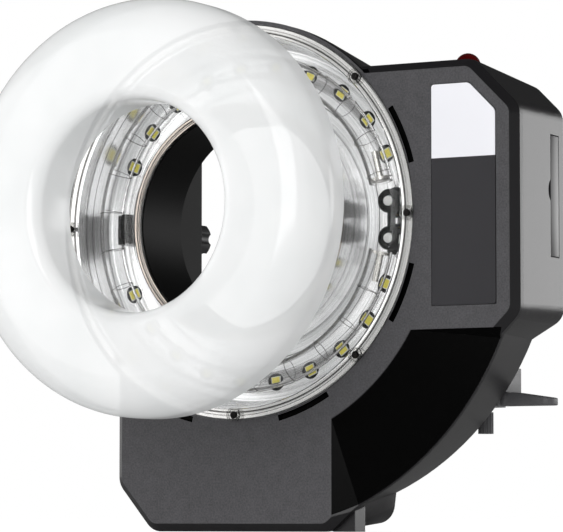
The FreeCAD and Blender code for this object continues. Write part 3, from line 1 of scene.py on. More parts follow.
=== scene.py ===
"""Looks of a ring flash for a camera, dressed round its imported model.

Everything is in metres in the model's frame: X to the right seen from the front, Y to the back
along the lens axis, Z up. The ring's axis is X = Z = 0, and the housing's front face is Y = 0.
"""

from __future__ import annotations

import json
import logging
import math
from collections.abc import Callable, Sequence
from dataclasses import dataclass, field
from enum import Enum
from typing import Any

import bmesh
import bpy
from mathutils import Matrix, Vector

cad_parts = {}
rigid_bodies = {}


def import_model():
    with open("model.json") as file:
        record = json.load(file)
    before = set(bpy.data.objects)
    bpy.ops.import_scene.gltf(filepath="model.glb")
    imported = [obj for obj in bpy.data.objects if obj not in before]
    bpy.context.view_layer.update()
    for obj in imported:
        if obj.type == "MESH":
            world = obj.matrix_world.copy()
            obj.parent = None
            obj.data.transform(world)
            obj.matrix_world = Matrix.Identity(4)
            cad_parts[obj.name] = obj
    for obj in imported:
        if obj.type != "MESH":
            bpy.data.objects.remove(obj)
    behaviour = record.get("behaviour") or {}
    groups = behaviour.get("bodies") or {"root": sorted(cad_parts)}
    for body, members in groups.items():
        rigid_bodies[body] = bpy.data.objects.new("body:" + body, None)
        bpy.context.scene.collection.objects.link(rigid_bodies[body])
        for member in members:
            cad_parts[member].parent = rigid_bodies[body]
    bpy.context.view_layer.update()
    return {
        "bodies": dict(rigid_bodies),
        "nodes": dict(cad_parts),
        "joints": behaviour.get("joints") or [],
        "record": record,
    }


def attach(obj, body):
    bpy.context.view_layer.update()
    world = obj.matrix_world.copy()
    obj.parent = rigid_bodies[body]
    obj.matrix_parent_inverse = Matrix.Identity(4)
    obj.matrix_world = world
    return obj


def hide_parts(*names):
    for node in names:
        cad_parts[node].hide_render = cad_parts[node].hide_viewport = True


LOG = logging.getLogger("ring_flash")
MM = 0.001
BACK = Vector((0.0, 1.0, 0.0))
UP = Vector((0.0, 0.0, 1.0))
RIGHT = Vector((1.0, 0.0, 0.0))
MOTTLE_MM = 6.0
MOTTLE_SHARE = 0.25
ROUGHNESS_SWING = 0.05
POLISHED_RELIEF = 0.15
GRAIN_DEPTH = 0.05 * MM


class Lay(Enum):
    """How a moulded surface is broken up by its tool."""

    GRAIN = "grain"
    POLISH = "polish"


def colour(code: str) -> tuple[float, float, float, float]:
    """Turn an sRGB hex value into a linear colour.

    Args:
        code: Six hex digits, such as "4b4a4c".

    Returns:
        Red, green, blue and an alpha of 1.
    """
    parts = [int(code[i:i + 2], 16) / 255.0 for i in (0, 2, 4)]
    linear = [c / 12.92 if c <= 0.04045 else ((c + 0.055) / 1.055) ** 2.4 for c in parts]
    return (linear[0], linear[1], linear[2], 1.0)


def add(tree: bpy.types.NodeTree, kind: str, values: dict[Any, Any] | None = None,
        links: dict[Any, Any] | None = None, **settings: Any) -> bpy.types.Node:
    """Add a node with its settings, socket values and links.

    Args:
        tree: The node tree to add to.
        kind: The node's type.
        values: Input socket name or number to plain value.
        links: Input socket name or number to the output socket that feeds it.
        settings: The node's own properties.

    Returns:
        The new node.
    """
    node = tree.nodes.new(kind)
    for name, value in settings.items():
        setattr(node, name, value)
    for name, value in (values or {}).items():
        node.inputs[name].default_value = value
    for name, socket in (links or {}).items():
        tree.links.new(socket, node.inputs[name])
    return node


def start_material(name: str) -> tuple[bpy.types.Material, bpy.types.NodeTree, Any]:
    """Make an empty node material.

    Args:
        name: The finish's name.

    Returns:
        The material, its tree, and the Object coordinate socket.
    """
    material = bpy.data.materials.new(name)
    material.use_nodes = True
    tree = material.node_tree
    tree.nodes.clear()
    place = add(tree, "ShaderNodeTexCoord").outputs["Object"]
    return material, tree, place


def finish_material(tree: bpy.types.NodeTree, shader: Any) -> None:
    """Join a shader socket to the material's output.

    Args:
        tree: The material's tree.
        shader: The shader output socket.
    """
    add(tree, "ShaderNodeOutputMaterial", links={"Surface": shader})


def noise(tree: bpy.types.NodeTree, place: Any, size_mm: float, detail: float = 2.0) -> Any:
    """Add a noise whose features have a real size.

    Args:
        tree: The material's tree.
        place: The coordinate socket.
        size_mm: The size of a feature, in millimetres.
        detail: The noise's octaves.

    Returns:
        The noise's value socket.
    """
    return add(tree, "ShaderNodeTexNoise", {"Scale": 1000.0 / size_mm, "Detail": detail},
               {"Vector": place}).outputs["Fac"]


def blend(tree: bpy.types.NodeTree, factor: Any, low: str, high: str) -> Any:
    """Mix two hex colours by a socket.

    Args:
        tree: The material's tree.
        factor: The socket that goes from 0 to 1.
        low: The hex colour at 0.
        high: The hex colour at 1.

    Returns:
        The mixed colour's socket.
    """
    return add(tree, "ShaderNodeMix", {6: colour(low), 7: colour(high)}, {0: factor},
               data_type="RGBA").outputs[2]


def spread(tree: bpy.types.NodeTree, value: Any, low: float, high: float,
           to_low: float = 0.0, to_high: float = 1.0) -> Any:
    """Stretch a range of a socket's values to another range, clamped.

    Args:
        tree: The material's tree.
        value: The socket to read.
        low: The value that gives to_low.
        high: The value that gives to_high.
        to_low: The result at low.
        to_high: The result at high.

    Returns:
        The stretched socket.
    """
    return add(tree, "ShaderNodeMapRange", {1: low, 2: high, 3: to_low, 4: to_high},
               {0: value}).outputs[0]


def sums(tree: bpy.types.NodeTree, operation: str, *terms: Any) -> Any:
    """Add a Math node on sockets or plain numbers.

    Args:
        tree: The material's tree.
        operation: The Math node's operation.
        terms: Its one to three inputs.

    Returns:
        The result's socket.
    """
    values = {i: t for i, t in enumerate(terms) if isinstance(t, (int, float))}
    links = {i: t for i, t in enumerate(terms) if not isinstance(t, (int, float))}
    return add(tree, "ShaderNodeMath", values, links, operation=operation).outputs[0]


def axis_distance(tree: bpy.types.NodeTree, axes: Any) -> Any:
    """Add the distance from the ring's axis.

    Args:
        tree: The material's tree.
        axes: The three coordinate sockets.

    Returns:
        The distance's socket.
    """
    flat = add(tree, "ShaderNodeCombineXYZ", links={0: axes[0], 1: axes[2]}).outputs[0]
    return add(tree, "ShaderNodeVectorMath", links={0: flat}, operation="LENGTH").outputs["Value"]


@dataclass(frozen=True)
class MouldedPlastic:
    """Injection-moulded plastic: one colour with a slight mottle and the tool's grain."""

    name: str
    shade: str
    light: str
    roughness: float = 0.5
    lay: Lay = Lay.GRAIN
    grain_mm: float = 0.45
    relief: float = 0.25
    shine: float = 0.5
    edge_mm: float = 0.0

    def surface(self, tree: bpy.types.NodeTree, place: Any) -> Any:
        """Add the plastic's shader and give its socket.

        Args:
            tree: The material's tree.
            place: The coordinate socket.

        Returns:
            The shader's socket.
        """
        mottle = noise(tree, place, MOTTLE_MM, 3.0)
        fine = noise(tree, place, self.grain_mm)
        worn = sums(tree, "ADD",
                    sums(tree, "MULTIPLY", spread(tree, mottle, 0.3, 0.7), MOTTLE_SHARE),
                    sums(tree, "MULTIPLY", spread(tree, fine, 0.3, 0.7), 1.0 - MOTTLE_SHARE))
        tint = blend(tree, worn, self.shade, self.light)
        rough = spread(tree, fine, 0.2, 0.8, self.roughness - ROUGHNESS_SWING,
                       self.roughness + ROUGHNESS_SWING)
        strength = self.relief if self.lay is Lay.GRAIN else self.relief * POLISHED_RELIEF
        bump = add(tree, "ShaderNodeBump", {"Strength": strength, "Distance": GRAIN_DEPTH},
                   {"Height": fine})
        if self.edge_mm:
            soft = add(tree, "ShaderNodeBevel", {"Radius": self.edge_mm * MM}, samples=4)
            tree.links.new(soft.outputs[0], bump.inputs["Normal"])
        return add(tree, "ShaderNodeBsdfPrincipled", {"Specular IOR Level": self.shine},
                   {"Base Color": tint, "Roughness": rough, "Normal": bump.outputs[0]}).outputs[0]

    def build(self) -> bpy.types.Material:
        """Make the material.

        Returns:
            The material.
        """
        material, tree, place = start_material(self.name)
        finish_material(tree, self.surface(tree, place))
        return material


@dataclass(frozen=True)
class FrontShellPlastic:
    """Grained dark grey face, satin black sides, and a smooth panel and slot sunk in it, painted
    deep black as shade.
    """

    face: MouldedPlastic
    side: MouldedPlastic
    panel: MouldedPlastic
    panel_start: float = 113.0 * MM
    panel_end: float = 156.5 * MM
    panel_left: float = 54.1 * MM
    panel_top: float = -56.9 * MM
    slot_start: float = 100.35 * MM
    slot_end: float = 103.45 * MM
    panel_depth: float = 6.2 * MM
    slot_depth: float = 2.4 * MM
    face_depth: tuple[float, float] = (0.03 * MM, 0.12 * MM)

    def build(self) -> bpy.types.Material:
        """Make the material: the face is its foremost plane; the panel behind a corner and the
        shallow slot round the cover get near-black painted shade.

        Returns:
            The material.
        """
        material, tree, place = start_material("front_shell_abs")
        axes = add(tree, "ShaderNodeSeparateXYZ", links={0: place}).outputs
        reach = axis_distance(tree, axes)
        sunk = spread(tree, axes[1], *self.face_depth)
        tests = [sunk, sums(tree, "GREATER_THAN", reach, self.panel_start),
                 sums(tree, "LESS_THAN", reach, self.panel_end),
                 sums(tree, "GREATER_THAN", axes[0], self.panel_left),
                 sums(tree, "LESS_THAN", axes[2], self.panel_top),
                 sums(tree, "LESS_THAN", axes[1], self.panel_depth)]
        # The panel and slot mask: where the near-black painted shade replaces the shell's own
        # colour.
        mask = tests[0]
        for test in tests[1:]:
            mask = sums(tree, "MULTIPLY", mask, test)
        slot = sums(tree, "MULTIPLY", sums(tree, "GREATER_THAN", reach, self.slot_start),
                    sums(tree, "LESS_THAN", reach, self.slot_end))
        shallow = sums(tree, "LESS_THAN", axes[1], self.slot_depth)
        slot = sums(tree, "MULTIPLY", slot, sums(tree, "MULTIPLY", sunk, shallow))
        mask = sums(tree, "MAXIMUM", mask, slot)
        rim = add(tree, "ShaderNodeMixShader", links={0: sunk, 1: self.face.surface(tree, place),
                                                      2: self.side.surface(tree, place)})
        mix = add(tree, "ShaderNodeMixShader", links={0: mask, 1: rim.outputs[0],
                                                      2: self.panel.surface(tree, place)})
        finish_material(tree, mix.outputs[0])
        return material


@dataclass(frozen=True)
class Clear:
    """Clear moulded plastic or blown glass that lets the lamps through, its walls painted dark as
    shade where seen edge-on.
    """

    name: str
    tint: str = "ffffff"
    ior: float = 1.49
    roughness: float = 0.0
    # The dark colour painted in as shade where a wall is seen edge-on.
    wall: str = "ffffff"

    def build(self) -> bpy.types.Material:
        """Make the material: refracting to the eye, plainly see-through to the lamps.

        Returns:
            The material.
        """
        material, tree, place = start_material(self.name)
        waver = noise(tree, place, 25.0)
        # Painted shade: the colour goes to the dark wall colour where the surface is seen edge-on.
        edge_on_shade = add(tree, "ShaderNodeLayerWeight", {"Blend": 0.5}).outputs["Facing"]
        tint = blend(tree, spread(tree, edge_on_shade, 0.4, 0.58), self.tint, self.wall)
        bump = add(tree, "ShaderNodeBump", {"Strength": 0.05, "Distance": 0.2 * MM},
                   {"Height": waver})
        glass = add(tree, "ShaderNodeBsdfPrincipled",
                    {"Roughness": self.roughness, "IOR": self.ior, "Transmission Weight": 1.0},
                    {"Base Color": tint, "Normal": bump.outputs[0]})
        free = add(tree, "ShaderNodeBsdfTransparent", {"Color": colour(self.tint)})
        path = add(tree, "ShaderNodeLightPath")
        either = sums(tree, "MAXIMUM", path.outputs["Is Shadow Ray"],
                      path.outputs["Is Diffuse Ray"])
        mix = add(tree, "ShaderNodeMixShader",
                  links={0: either, 1: glass.outputs[0], 2: free.outputs[0]})
        finish_material(tree, mix.outputs[0])
        return material


@dataclass(frozen=True)
class Metal:
    """Bare or plated metal with a fine scatter in its polish."""

    name: str
    tint: str
    dark: str
    roughness: float = 0.2
    grain_mm: float = 1.2

    def build(self) -> bpy.types.Material:
        """Make the material.

        Returns:
            The material.
        """
        material, tree, place = start_material(self.name)
        patch = noise(tree, place, self.grain_mm * 12.0, 3.0)
        fine = noise(tree, place, self.grain_mm)
        tint = blend(tree, spread(tree, patch, 0.3, 0.7), self.dark, self.tint)
        rough = spread(tree, fine, 0.2, 0.8, self.roughness * 0.7, self.roughness * 1.3)
        shader = add(tree, "ShaderNodeBsdfPrincipled", {"Metallic": 1.0},
                     {"Base Color": tint, "Roughness": rough})
        finish_material(tree, shader.outputs[0])
        return material


@dataclass(frozen=True)
class MetallisedTray:
    """Plastic tray with a bright vacuum-metal coat: a slight haze and fine turned rings."""

    name: str = "vacuum_metallised_plastic"
    tint: str = "fbfbfc"
    dark: str = "eceded"
    line: str = "615f5e"
    flange: str = "d9d8d6"
    neck: str = "b9aea4"
    groove: str = "3f3d3b"
    haze: float = 0.2
    ring_mm: float = 0.7
    inner_lip: float = 60.0 * MM
    outer_lip: float = 94.0 * MM

    def build(self) -> bpy.types.Material:
        """Make the material: its pattern runs round the ring's axis only.

        Returns:
            The material.
        """
        material, tree, place = start_material(self.name)
        axes = add(tree, "ShaderNodeSeparateXYZ", links={0: place}).outputs
        reach = axis_distance(tree, axes)
        across = add(tree, "ShaderNodeCombineXYZ", links={0: reach, 1: axes[1]}).outputs[0]
        rings = noise(tree, across, self.ring_mm, 3.0)
        lines = noise(tree, across, self.ring_mm * 1.6, 1.0)
        coat = blend(tree, spread(tree, rings, 0.35, 0.65), self.dark, self.tint)
        scored = spread(tree, lines, 0.3, 0.36, 1.0, 0.0)
        coat = add(tree, "ShaderNodeMix", {7: colour(self.line)}, {0: scored, 6: coat},
                   data_type="RGBA").outputs[2]
        near = sums(tree, "LESS_THAN", reach, self.inner_lip)
        rims = sums(tree, "MAXIMUM", sums(tree, "GREATER_THAN", reach, self.outer_lip), near)
        plain = blend(tree, near, self.flange, self.neck)
        band = add(tree, "ShaderNodeMix", {6: colour(self.groove)},
                   {0: spread(tree, lines, 0.4, 0.47), 7: plain}, data_type="RGBA").outputs[2]
        tint = add(tree, "ShaderNodeMix", links={0: rims, 6: coat, 7: band},
                   data_type="RGBA").outputs[2]
        rough = spread(tree, rings, 0.3, 0.7, 0.12, 0.26)
        bump = add(tree, "ShaderNodeBump", {"Strength": 0.25, "Distance": 0.1 * MM},
                   {"Height": rings})
        shader = add(tree, "ShaderNodeBsdfPrincipled", {"Metallic": 1.0 - self.haze},
                     {"Base Color": tint, "Roughness": rough, "Normal": bump.outputs[0]})
        finish_material(tree, shader.outputs[0])
        return material


@dataclass(frozen=True)
class FrostedPlastic:
    """Milky thin polypropylene: it glows with the light behind it and shows a little through."""

    name: str
    shade: str
    light: str
    see_through: float = 0.1
    glow: float = 0.16

    def build(self) -> bpy.types.Material:
        """Make the material: a wall's far face, met from inside, is let through as it is.

        Returns:
            The material.
        """
        material, tree, place = start_material(self.name)
        cloud = noise(tree, place, 45.0, 2.0)
        tint = blend(tree, spread(tree, cloud, 0.35, 0.65), self.shade, self.light)
        shell = add(tree, "ShaderNodeBsdfPrincipled", {"Roughness": 0.13},
                    {"Base Color": tint})
        through = add(tree, "ShaderNodeBsdfTranslucent", links={"Color": tint})
        lit = add(tree, "ShaderNodeMixShader", {0: self.glow},
                  {1: shell.outputs[0], 2: through.outputs[0]})
        free = add(tree, "ShaderNodeBsdfTransparent")
        inside = add(tree, "ShaderNodeNewGeometry").outputs["Backfacing"]
        mix = add(tree, "ShaderNodeMixShader",
                  links={0: sums(tree, "MAXIMUM", inside, self.see_through),
                         1: lit.outputs[0], 2: free.outputs[0]})
        finish_material(tree, mix.outputs[0])
        return material


@dataclass(frozen=True)
class LabelFilm:
    """Satin label film, pale above a line and dark below it, with nothing printed on it."""

    name: str = "label_film"
    pale: str = "efeff4"
    dark: str = "313033"
    line: float = 25.9 * MM

    def build(self) -> bpy.types.Material:
        """Make the material.

        Returns:
            The material.
        """
        material, tree, place = start_material(self.name)
        height = add(tree, "ShaderNodeSeparateXYZ", links={0: place}).outputs[2]
        above = spread(tree, height, self.line - 0.05 * MM, self.line + 0.05 * MM)
        tint = blend(tree, above, self.dark, self.pale)
        fine = noise(tree, place, 0.5)
        bump = add(tree, "ShaderNodeBump", {"Strength": 0.08, "Distance": 0.02 * MM},
                   {"Height": fine})
        shader = add(tree, "ShaderNodeBsdfPrincipled",
                     {"Roughness": 0.4, "Specular IOR Level": 0.25},
                     {"Base Color": tint, "Normal": bump.outputs[0]})
        finish_material(tree, shader.outputs[0])
        return material


FINISHES: dict[str, Any] = {
    # Moulded ABS shells: a spark-eroded face, its grain drawn coarser than real so that it shows,
    # satin sides that take a broad sheen, and a dull bore whose near-black colour is partly its
    # black plastic and partly painted shade in its depth.
    "face": MouldedPlastic("grained_abs", "323134", "504f52", 0.5, grain_mm=0.9, relief=0.55,
                           edge_mm=0.4),
    "back": MouldedPlastic("satin_abs", "1b1a1c", "1f1e20", 0.32, Lay.POLISH, edge_mm=0.6),
    "tunnel": MouldedPlastic("tunnel_painted_shade_abs", "060606", "090909", 0.45, shine=0.05),
    # Vacuum-metallised tray under moulded polycarbonate and blown quartz: bright, with dark edges
    # painted as shade on the clear walls seen edge-on.
    "mirror": MetallisedTray(),
    "cover": Clear("polycarbonate", "ffffff", 1.23, wall="42413f"),
    "quartz": Clear("quartz_glass", "ffffff", 1.3, wall="8e8d8b"),
    # Solder mask, ceramic lamp frames with yellow phosphor, silicone boots and white ceramic caps.
    "board": MouldedPlastic("solder_mask", "080d0b", "0d1411", 0.3, Lay.POLISH, shine=0.15),
    "led_frame": MouldedPlastic("led_ceramic", "e4e4dc", "eeeee6", 0.4, Lay.POLISH),
    "phosphor": MouldedPlastic("led_phosphor", "e2d43c", "efe468", 0.35, Lay.POLISH),
    "boot": MouldedPlastic("black_silicone", "040404", "080808", 0.22, Lay.POLISH, shine=0.2),
    "cap": MouldedPlastic("white_ceramic", "d4d4d2", "e2e2e0", 0.25, Lay.POLISH),
    # The bosses' walls take a near-black painted shade where seen edge-on.
    "boss": Clear("polycarbonate_boss", "e2e2e0", 1.3, wall="181716"),
    "dark_screw": Metal("blackened_steel", "3a3837", "191818", 0.3, 0.6),
    # Screws, electrodes and contacts: plated steel and brass with a slight scatter in the polish.
    "steel": Metal("zinc_plated_steel", "c9c7c2", "a9a7a2", 0.25, 0.8),
    "wire": Metal("nickel_wire", "6a6866", "4a4846", 0.35, 0.4),
    # Label film, a glossy red acrylic dome, a satin rubber flap and plain black ABS controls.
    "label": LabelFilm(),
    "dome": MouldedPlastic("red_acrylic", "300202", "560505", 0.08, Lay.POLISH),
    "flap": MouldedPlastic("flap_rubber", "1e1d1f", "232224", 0.36, Lay.POLISH),
    "dark": MouldedPlastic("black_abs", "1d1d1e", "242425", 0.45),
    "key": MouldedPlastic("grey_rubber", "59595c", "646467", 0.5),
    "window": MouldedPlastic("display_acrylic", "0b0d0c", "101311", 0.06, Lay.POLISH),
    "brass": Metal("brass", "c9a659", "a98a45", 0.3, 0.8),
    # Shrunk sleeves on the capacitors and yellow tape on the coil, both smooth and a little shiny.
    "sleeve": MouldedPlastic("capacitor_sleeve", "14182c", "1c2140", 0.3, Lay.POLISH),
    "coil": MouldedPlastic("coil_tape", "9a8227", "b59a35", 0.35, Lay.POLISH),
    # Powder-coated castings with a pebbly skin, dull rubber feet, and the milky diffuser.
    "painted": MouldedPlastic("powder_coat", "515153", "5b5b5d", 0.5, grain_mm=0.8),
    "foot": MouldedPlastic("black_rubber", "121212", "1a1a1a", 0.75),
    "frost": FrostedPlastic("frosted_polypropylene", "edefef", "f5f6f6"),
}
BUILT: dict[str, bpy.types.Material] = {}


def finish(key: str) -> bpy.types.Material:
    """Give a finish's material, made the first time it is asked for.

    Args:
        key: The finish's key in FINISHES.

    Returns:
        The material.
    """
    if key not in BUILT:
        BUILT[key] = FINISHES[key].build()
    return BUILT[key]


def spin_profile(mesh: bmesh.types.BMesh, profile: Sequence[tuple[float, float]], steps: int,
                 centre: Vector = Vector(), axis: Vector = BACK, closed: bool = True) -> None:
    """Turn a profile once round an axis.

    Args:
        mesh: The mesh that the ring is added to.
        profile: Radius and distance along the axis of each point, in metres.
        steps: How many faces go round.
        centre: A point on the axis, from which the distances count.
        axis: The axis as a unit vector.
        closed: Whether the last point joins the first.
    """
    side = UP if abs(axis.dot(UP)) < 0.5 else RIGHT
    points = [mesh.verts.new(centre + side * radius + axis * along) for radius, along in profile]
    pairs = list(zip(points, points[1:]))
    if closed:
        pairs.append((points[-1], points[0]))
    edges = [mesh.edges.new(pair) for pair in pairs]
    bmesh.ops.spin(mesh, geom=points + edges, cent=centre, axis=axis, dvec=(0, 0, 0),
                   angle=2 * math.pi, steps=steps, use_merge=True, use_duplicate=False)
    bmesh.ops.remove_doubles(mesh, verts=mesh.verts[:], dist=1e-7)
    bmesh.ops.recalc_face_normals(mesh, faces=mesh.faces[:])


def make_piece(name: str, body: str, build: Callable[[bmesh.types.BMesh], None],
               finishes: Sequence[str], replaces: Sequence[str] = (),
               smooth: float = 35.0) -> bpy.types.Object:
    """Make a piece of the object from mesh operators.

    Args:
        name: The piece's name.
        body: The body that it rides on.
        build: What fills the mesh.
        finishes: The keys of its materials, in the order of their numbers.
        replaces: The model's nodes that it stands for.
        smooth: The angle in degrees past which an edge stays sharp.

    Returns:
        The finished object.
    """
    mesh = bmesh.new()
    build(mesh)
    data = bpy.data.meshes.new(name)
    mesh.to_mesh(data)
    mesh.free()
    data.shade_smooth()
    data.set_sharp_from_angle(angle=math.radians(smooth))
    piece = bpy.data.objects.new(name, data)
    bpy.context.scene.collection.objects.link(piece)
    for key in finishes:
        data.materials.append(finish(key))
    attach(piece, body)
    if replaces:
        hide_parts(*replaces)
    LOG.info("%s: %d faces on %s", name, len(data.polygons), body)
    return piece


def add_block(mesh: bmesh.types.BMesh, centre: Vector, size: Vector, round_by: float,
              turn: Matrix | None = None, material: int = 0) -> list[bmesh.types.BMFace]:
    """Add a box with rounded edges.

    Args:
        mesh: The mesh to add to.
        centre: The box's middle.
        size: Its length along each axis.
        round_by: How far the edges are rounded.
        turn: A turn about its middle.
        material: The number of its material.

    Returns:
        Its faces.
    """
    where = Matrix.Translation(centre) @ (turn or Matrix()) @ Matrix.Diagonal((*size, 1.0))
    made = bmesh.ops.create_cube(mesh, size=1.0, matrix=where)
    faces = {face for vert in made["verts"] for face in vert.link_faces}
    edges = {edge for face in faces for edge in face.edges}
    for face in faces:
        face.material_index = material
    if round_by > 0:
        bent = bmesh.ops.bevel(mesh, geom=list(edges), offset=round_by, segments=2, profile=0.5,
                               affect="EDGES", material=-1)
        faces = {face for face in faces if face.is_valid} | set(bent["faces"])
    return list(faces)


def dress(frame: dict[str, Any], key: str, *nodes: str) -> None:
    """Give nodes of the model a finish.

    Args:
        frame: The loaded frame.
        key: The finish's key.
        nodes: The nodes' names.
    """
    for node in nodes:
        for place in frame["nodes"][node].material_slots:
            place.material = finish(key)
        LOG.info("%s: %s", node, finish(key).name)


def soften(name: str, body: str, frame: dict[str, Any], node: str, key: str,
           round_by: float, shape: Callable[[bmesh.types.BMesh], None] | None = None) -> None:
    """Stand in for a node with a copy whose hard edges are rounded.

    Args:
        name: The new piece's name.
        body: The body that it rides on.
        frame: The loaded frame.
        node: The node that it copies.
        key: The finish's key.
        round_by: How far the edges are rounded.
        shape: What is changed in the copy before its edges are rounded.
    """
    def build(mesh: bmesh.types.BMesh) -> None:
        """Copy, mend and round the node's mesh.

        Args:
            mesh: The mesh to fill.
        """
        mesh.from_mesh(frame["nodes"][node].data)
        bmesh.ops.remove_doubles(mesh, verts=mesh.verts[:], dist=1e-6)
        bmesh.ops.dissolve_limit(mesh, angle_limit=math.radians(1.0), verts=mesh.verts[:],
                                 edges=mesh.edges[:])
        for face in mesh.faces:
            face.material_index = 0
        if shape:
            shape(mesh)
        hard = [edge for edge in mesh.edges
                if len(edge.link_faces) == 2 and edge.calc_face_angle() > math.radians(40)]
        bmesh.ops.bevel(mesh, geom=hard, offset=round_by, segments=2, profile=0.5,
                        affect="EDGES", material=-1, clamp_overlap=True)
        bmesh.ops.recalc_face_normals(mesh, faces=mesh.faces[:])

    make_piece(name, body, build, [key], [node])


# Turned profiles: the radius and depth of each point, in millimetres.
BOSS_PROFILE = ((2.7, -1.3), (2.7, -2.3), (2.8, -2.4), (3.6, -2.4), (3.7, -2.3), (3.7, -1.3))
BOOT_PROFILE = ((0.0, 13.9), (2.7, 13.9), (3.1, 14.5), (4.3, 14.5), (4.7, 13.7), (5.6, 13.9),
                (6.0, 14.5), (6.0, 15.6), (5.5, 16.0), (5.5, 16.6), (6.0, 17.0), (6.0, 30.0),
                (0.0, 30.0))
CAP_PROFILE = ((0.0, 12.9), (1.6, 12.95), (2.3, 13.2), (2.55, 13.6), (2.55, 14.0), (0.0, 14.0))


def in_metres(profile: Sequence[tuple[float, float]]) -> list[tuple[float, float]]:
    """Turn a profile's millimetres into metres."""
    return [(radius * MM, depth * MM) for radius, depth in profile]


def ring_direction(angle: float) -> Vector:
    """Give the direction out from the ring's axis at an angle in radians."""
    return Vector((math.cos(angle), 0.0, math.sin(angle)))


def join_part(mesh: bmesh.types.BMesh, part: bmesh.types.BMesh) -> None:
    """Add a part to a mesh and free it.

    Args:
        mesh: The mesh that takes it.
        part: The part, which is gone afterwards.
    """
    data = bpy.data.meshes.new("part")
    part.to_mesh(data)
    part.free()
    mesh.from_mesh(data)
    bpy.data.meshes.remove(data)


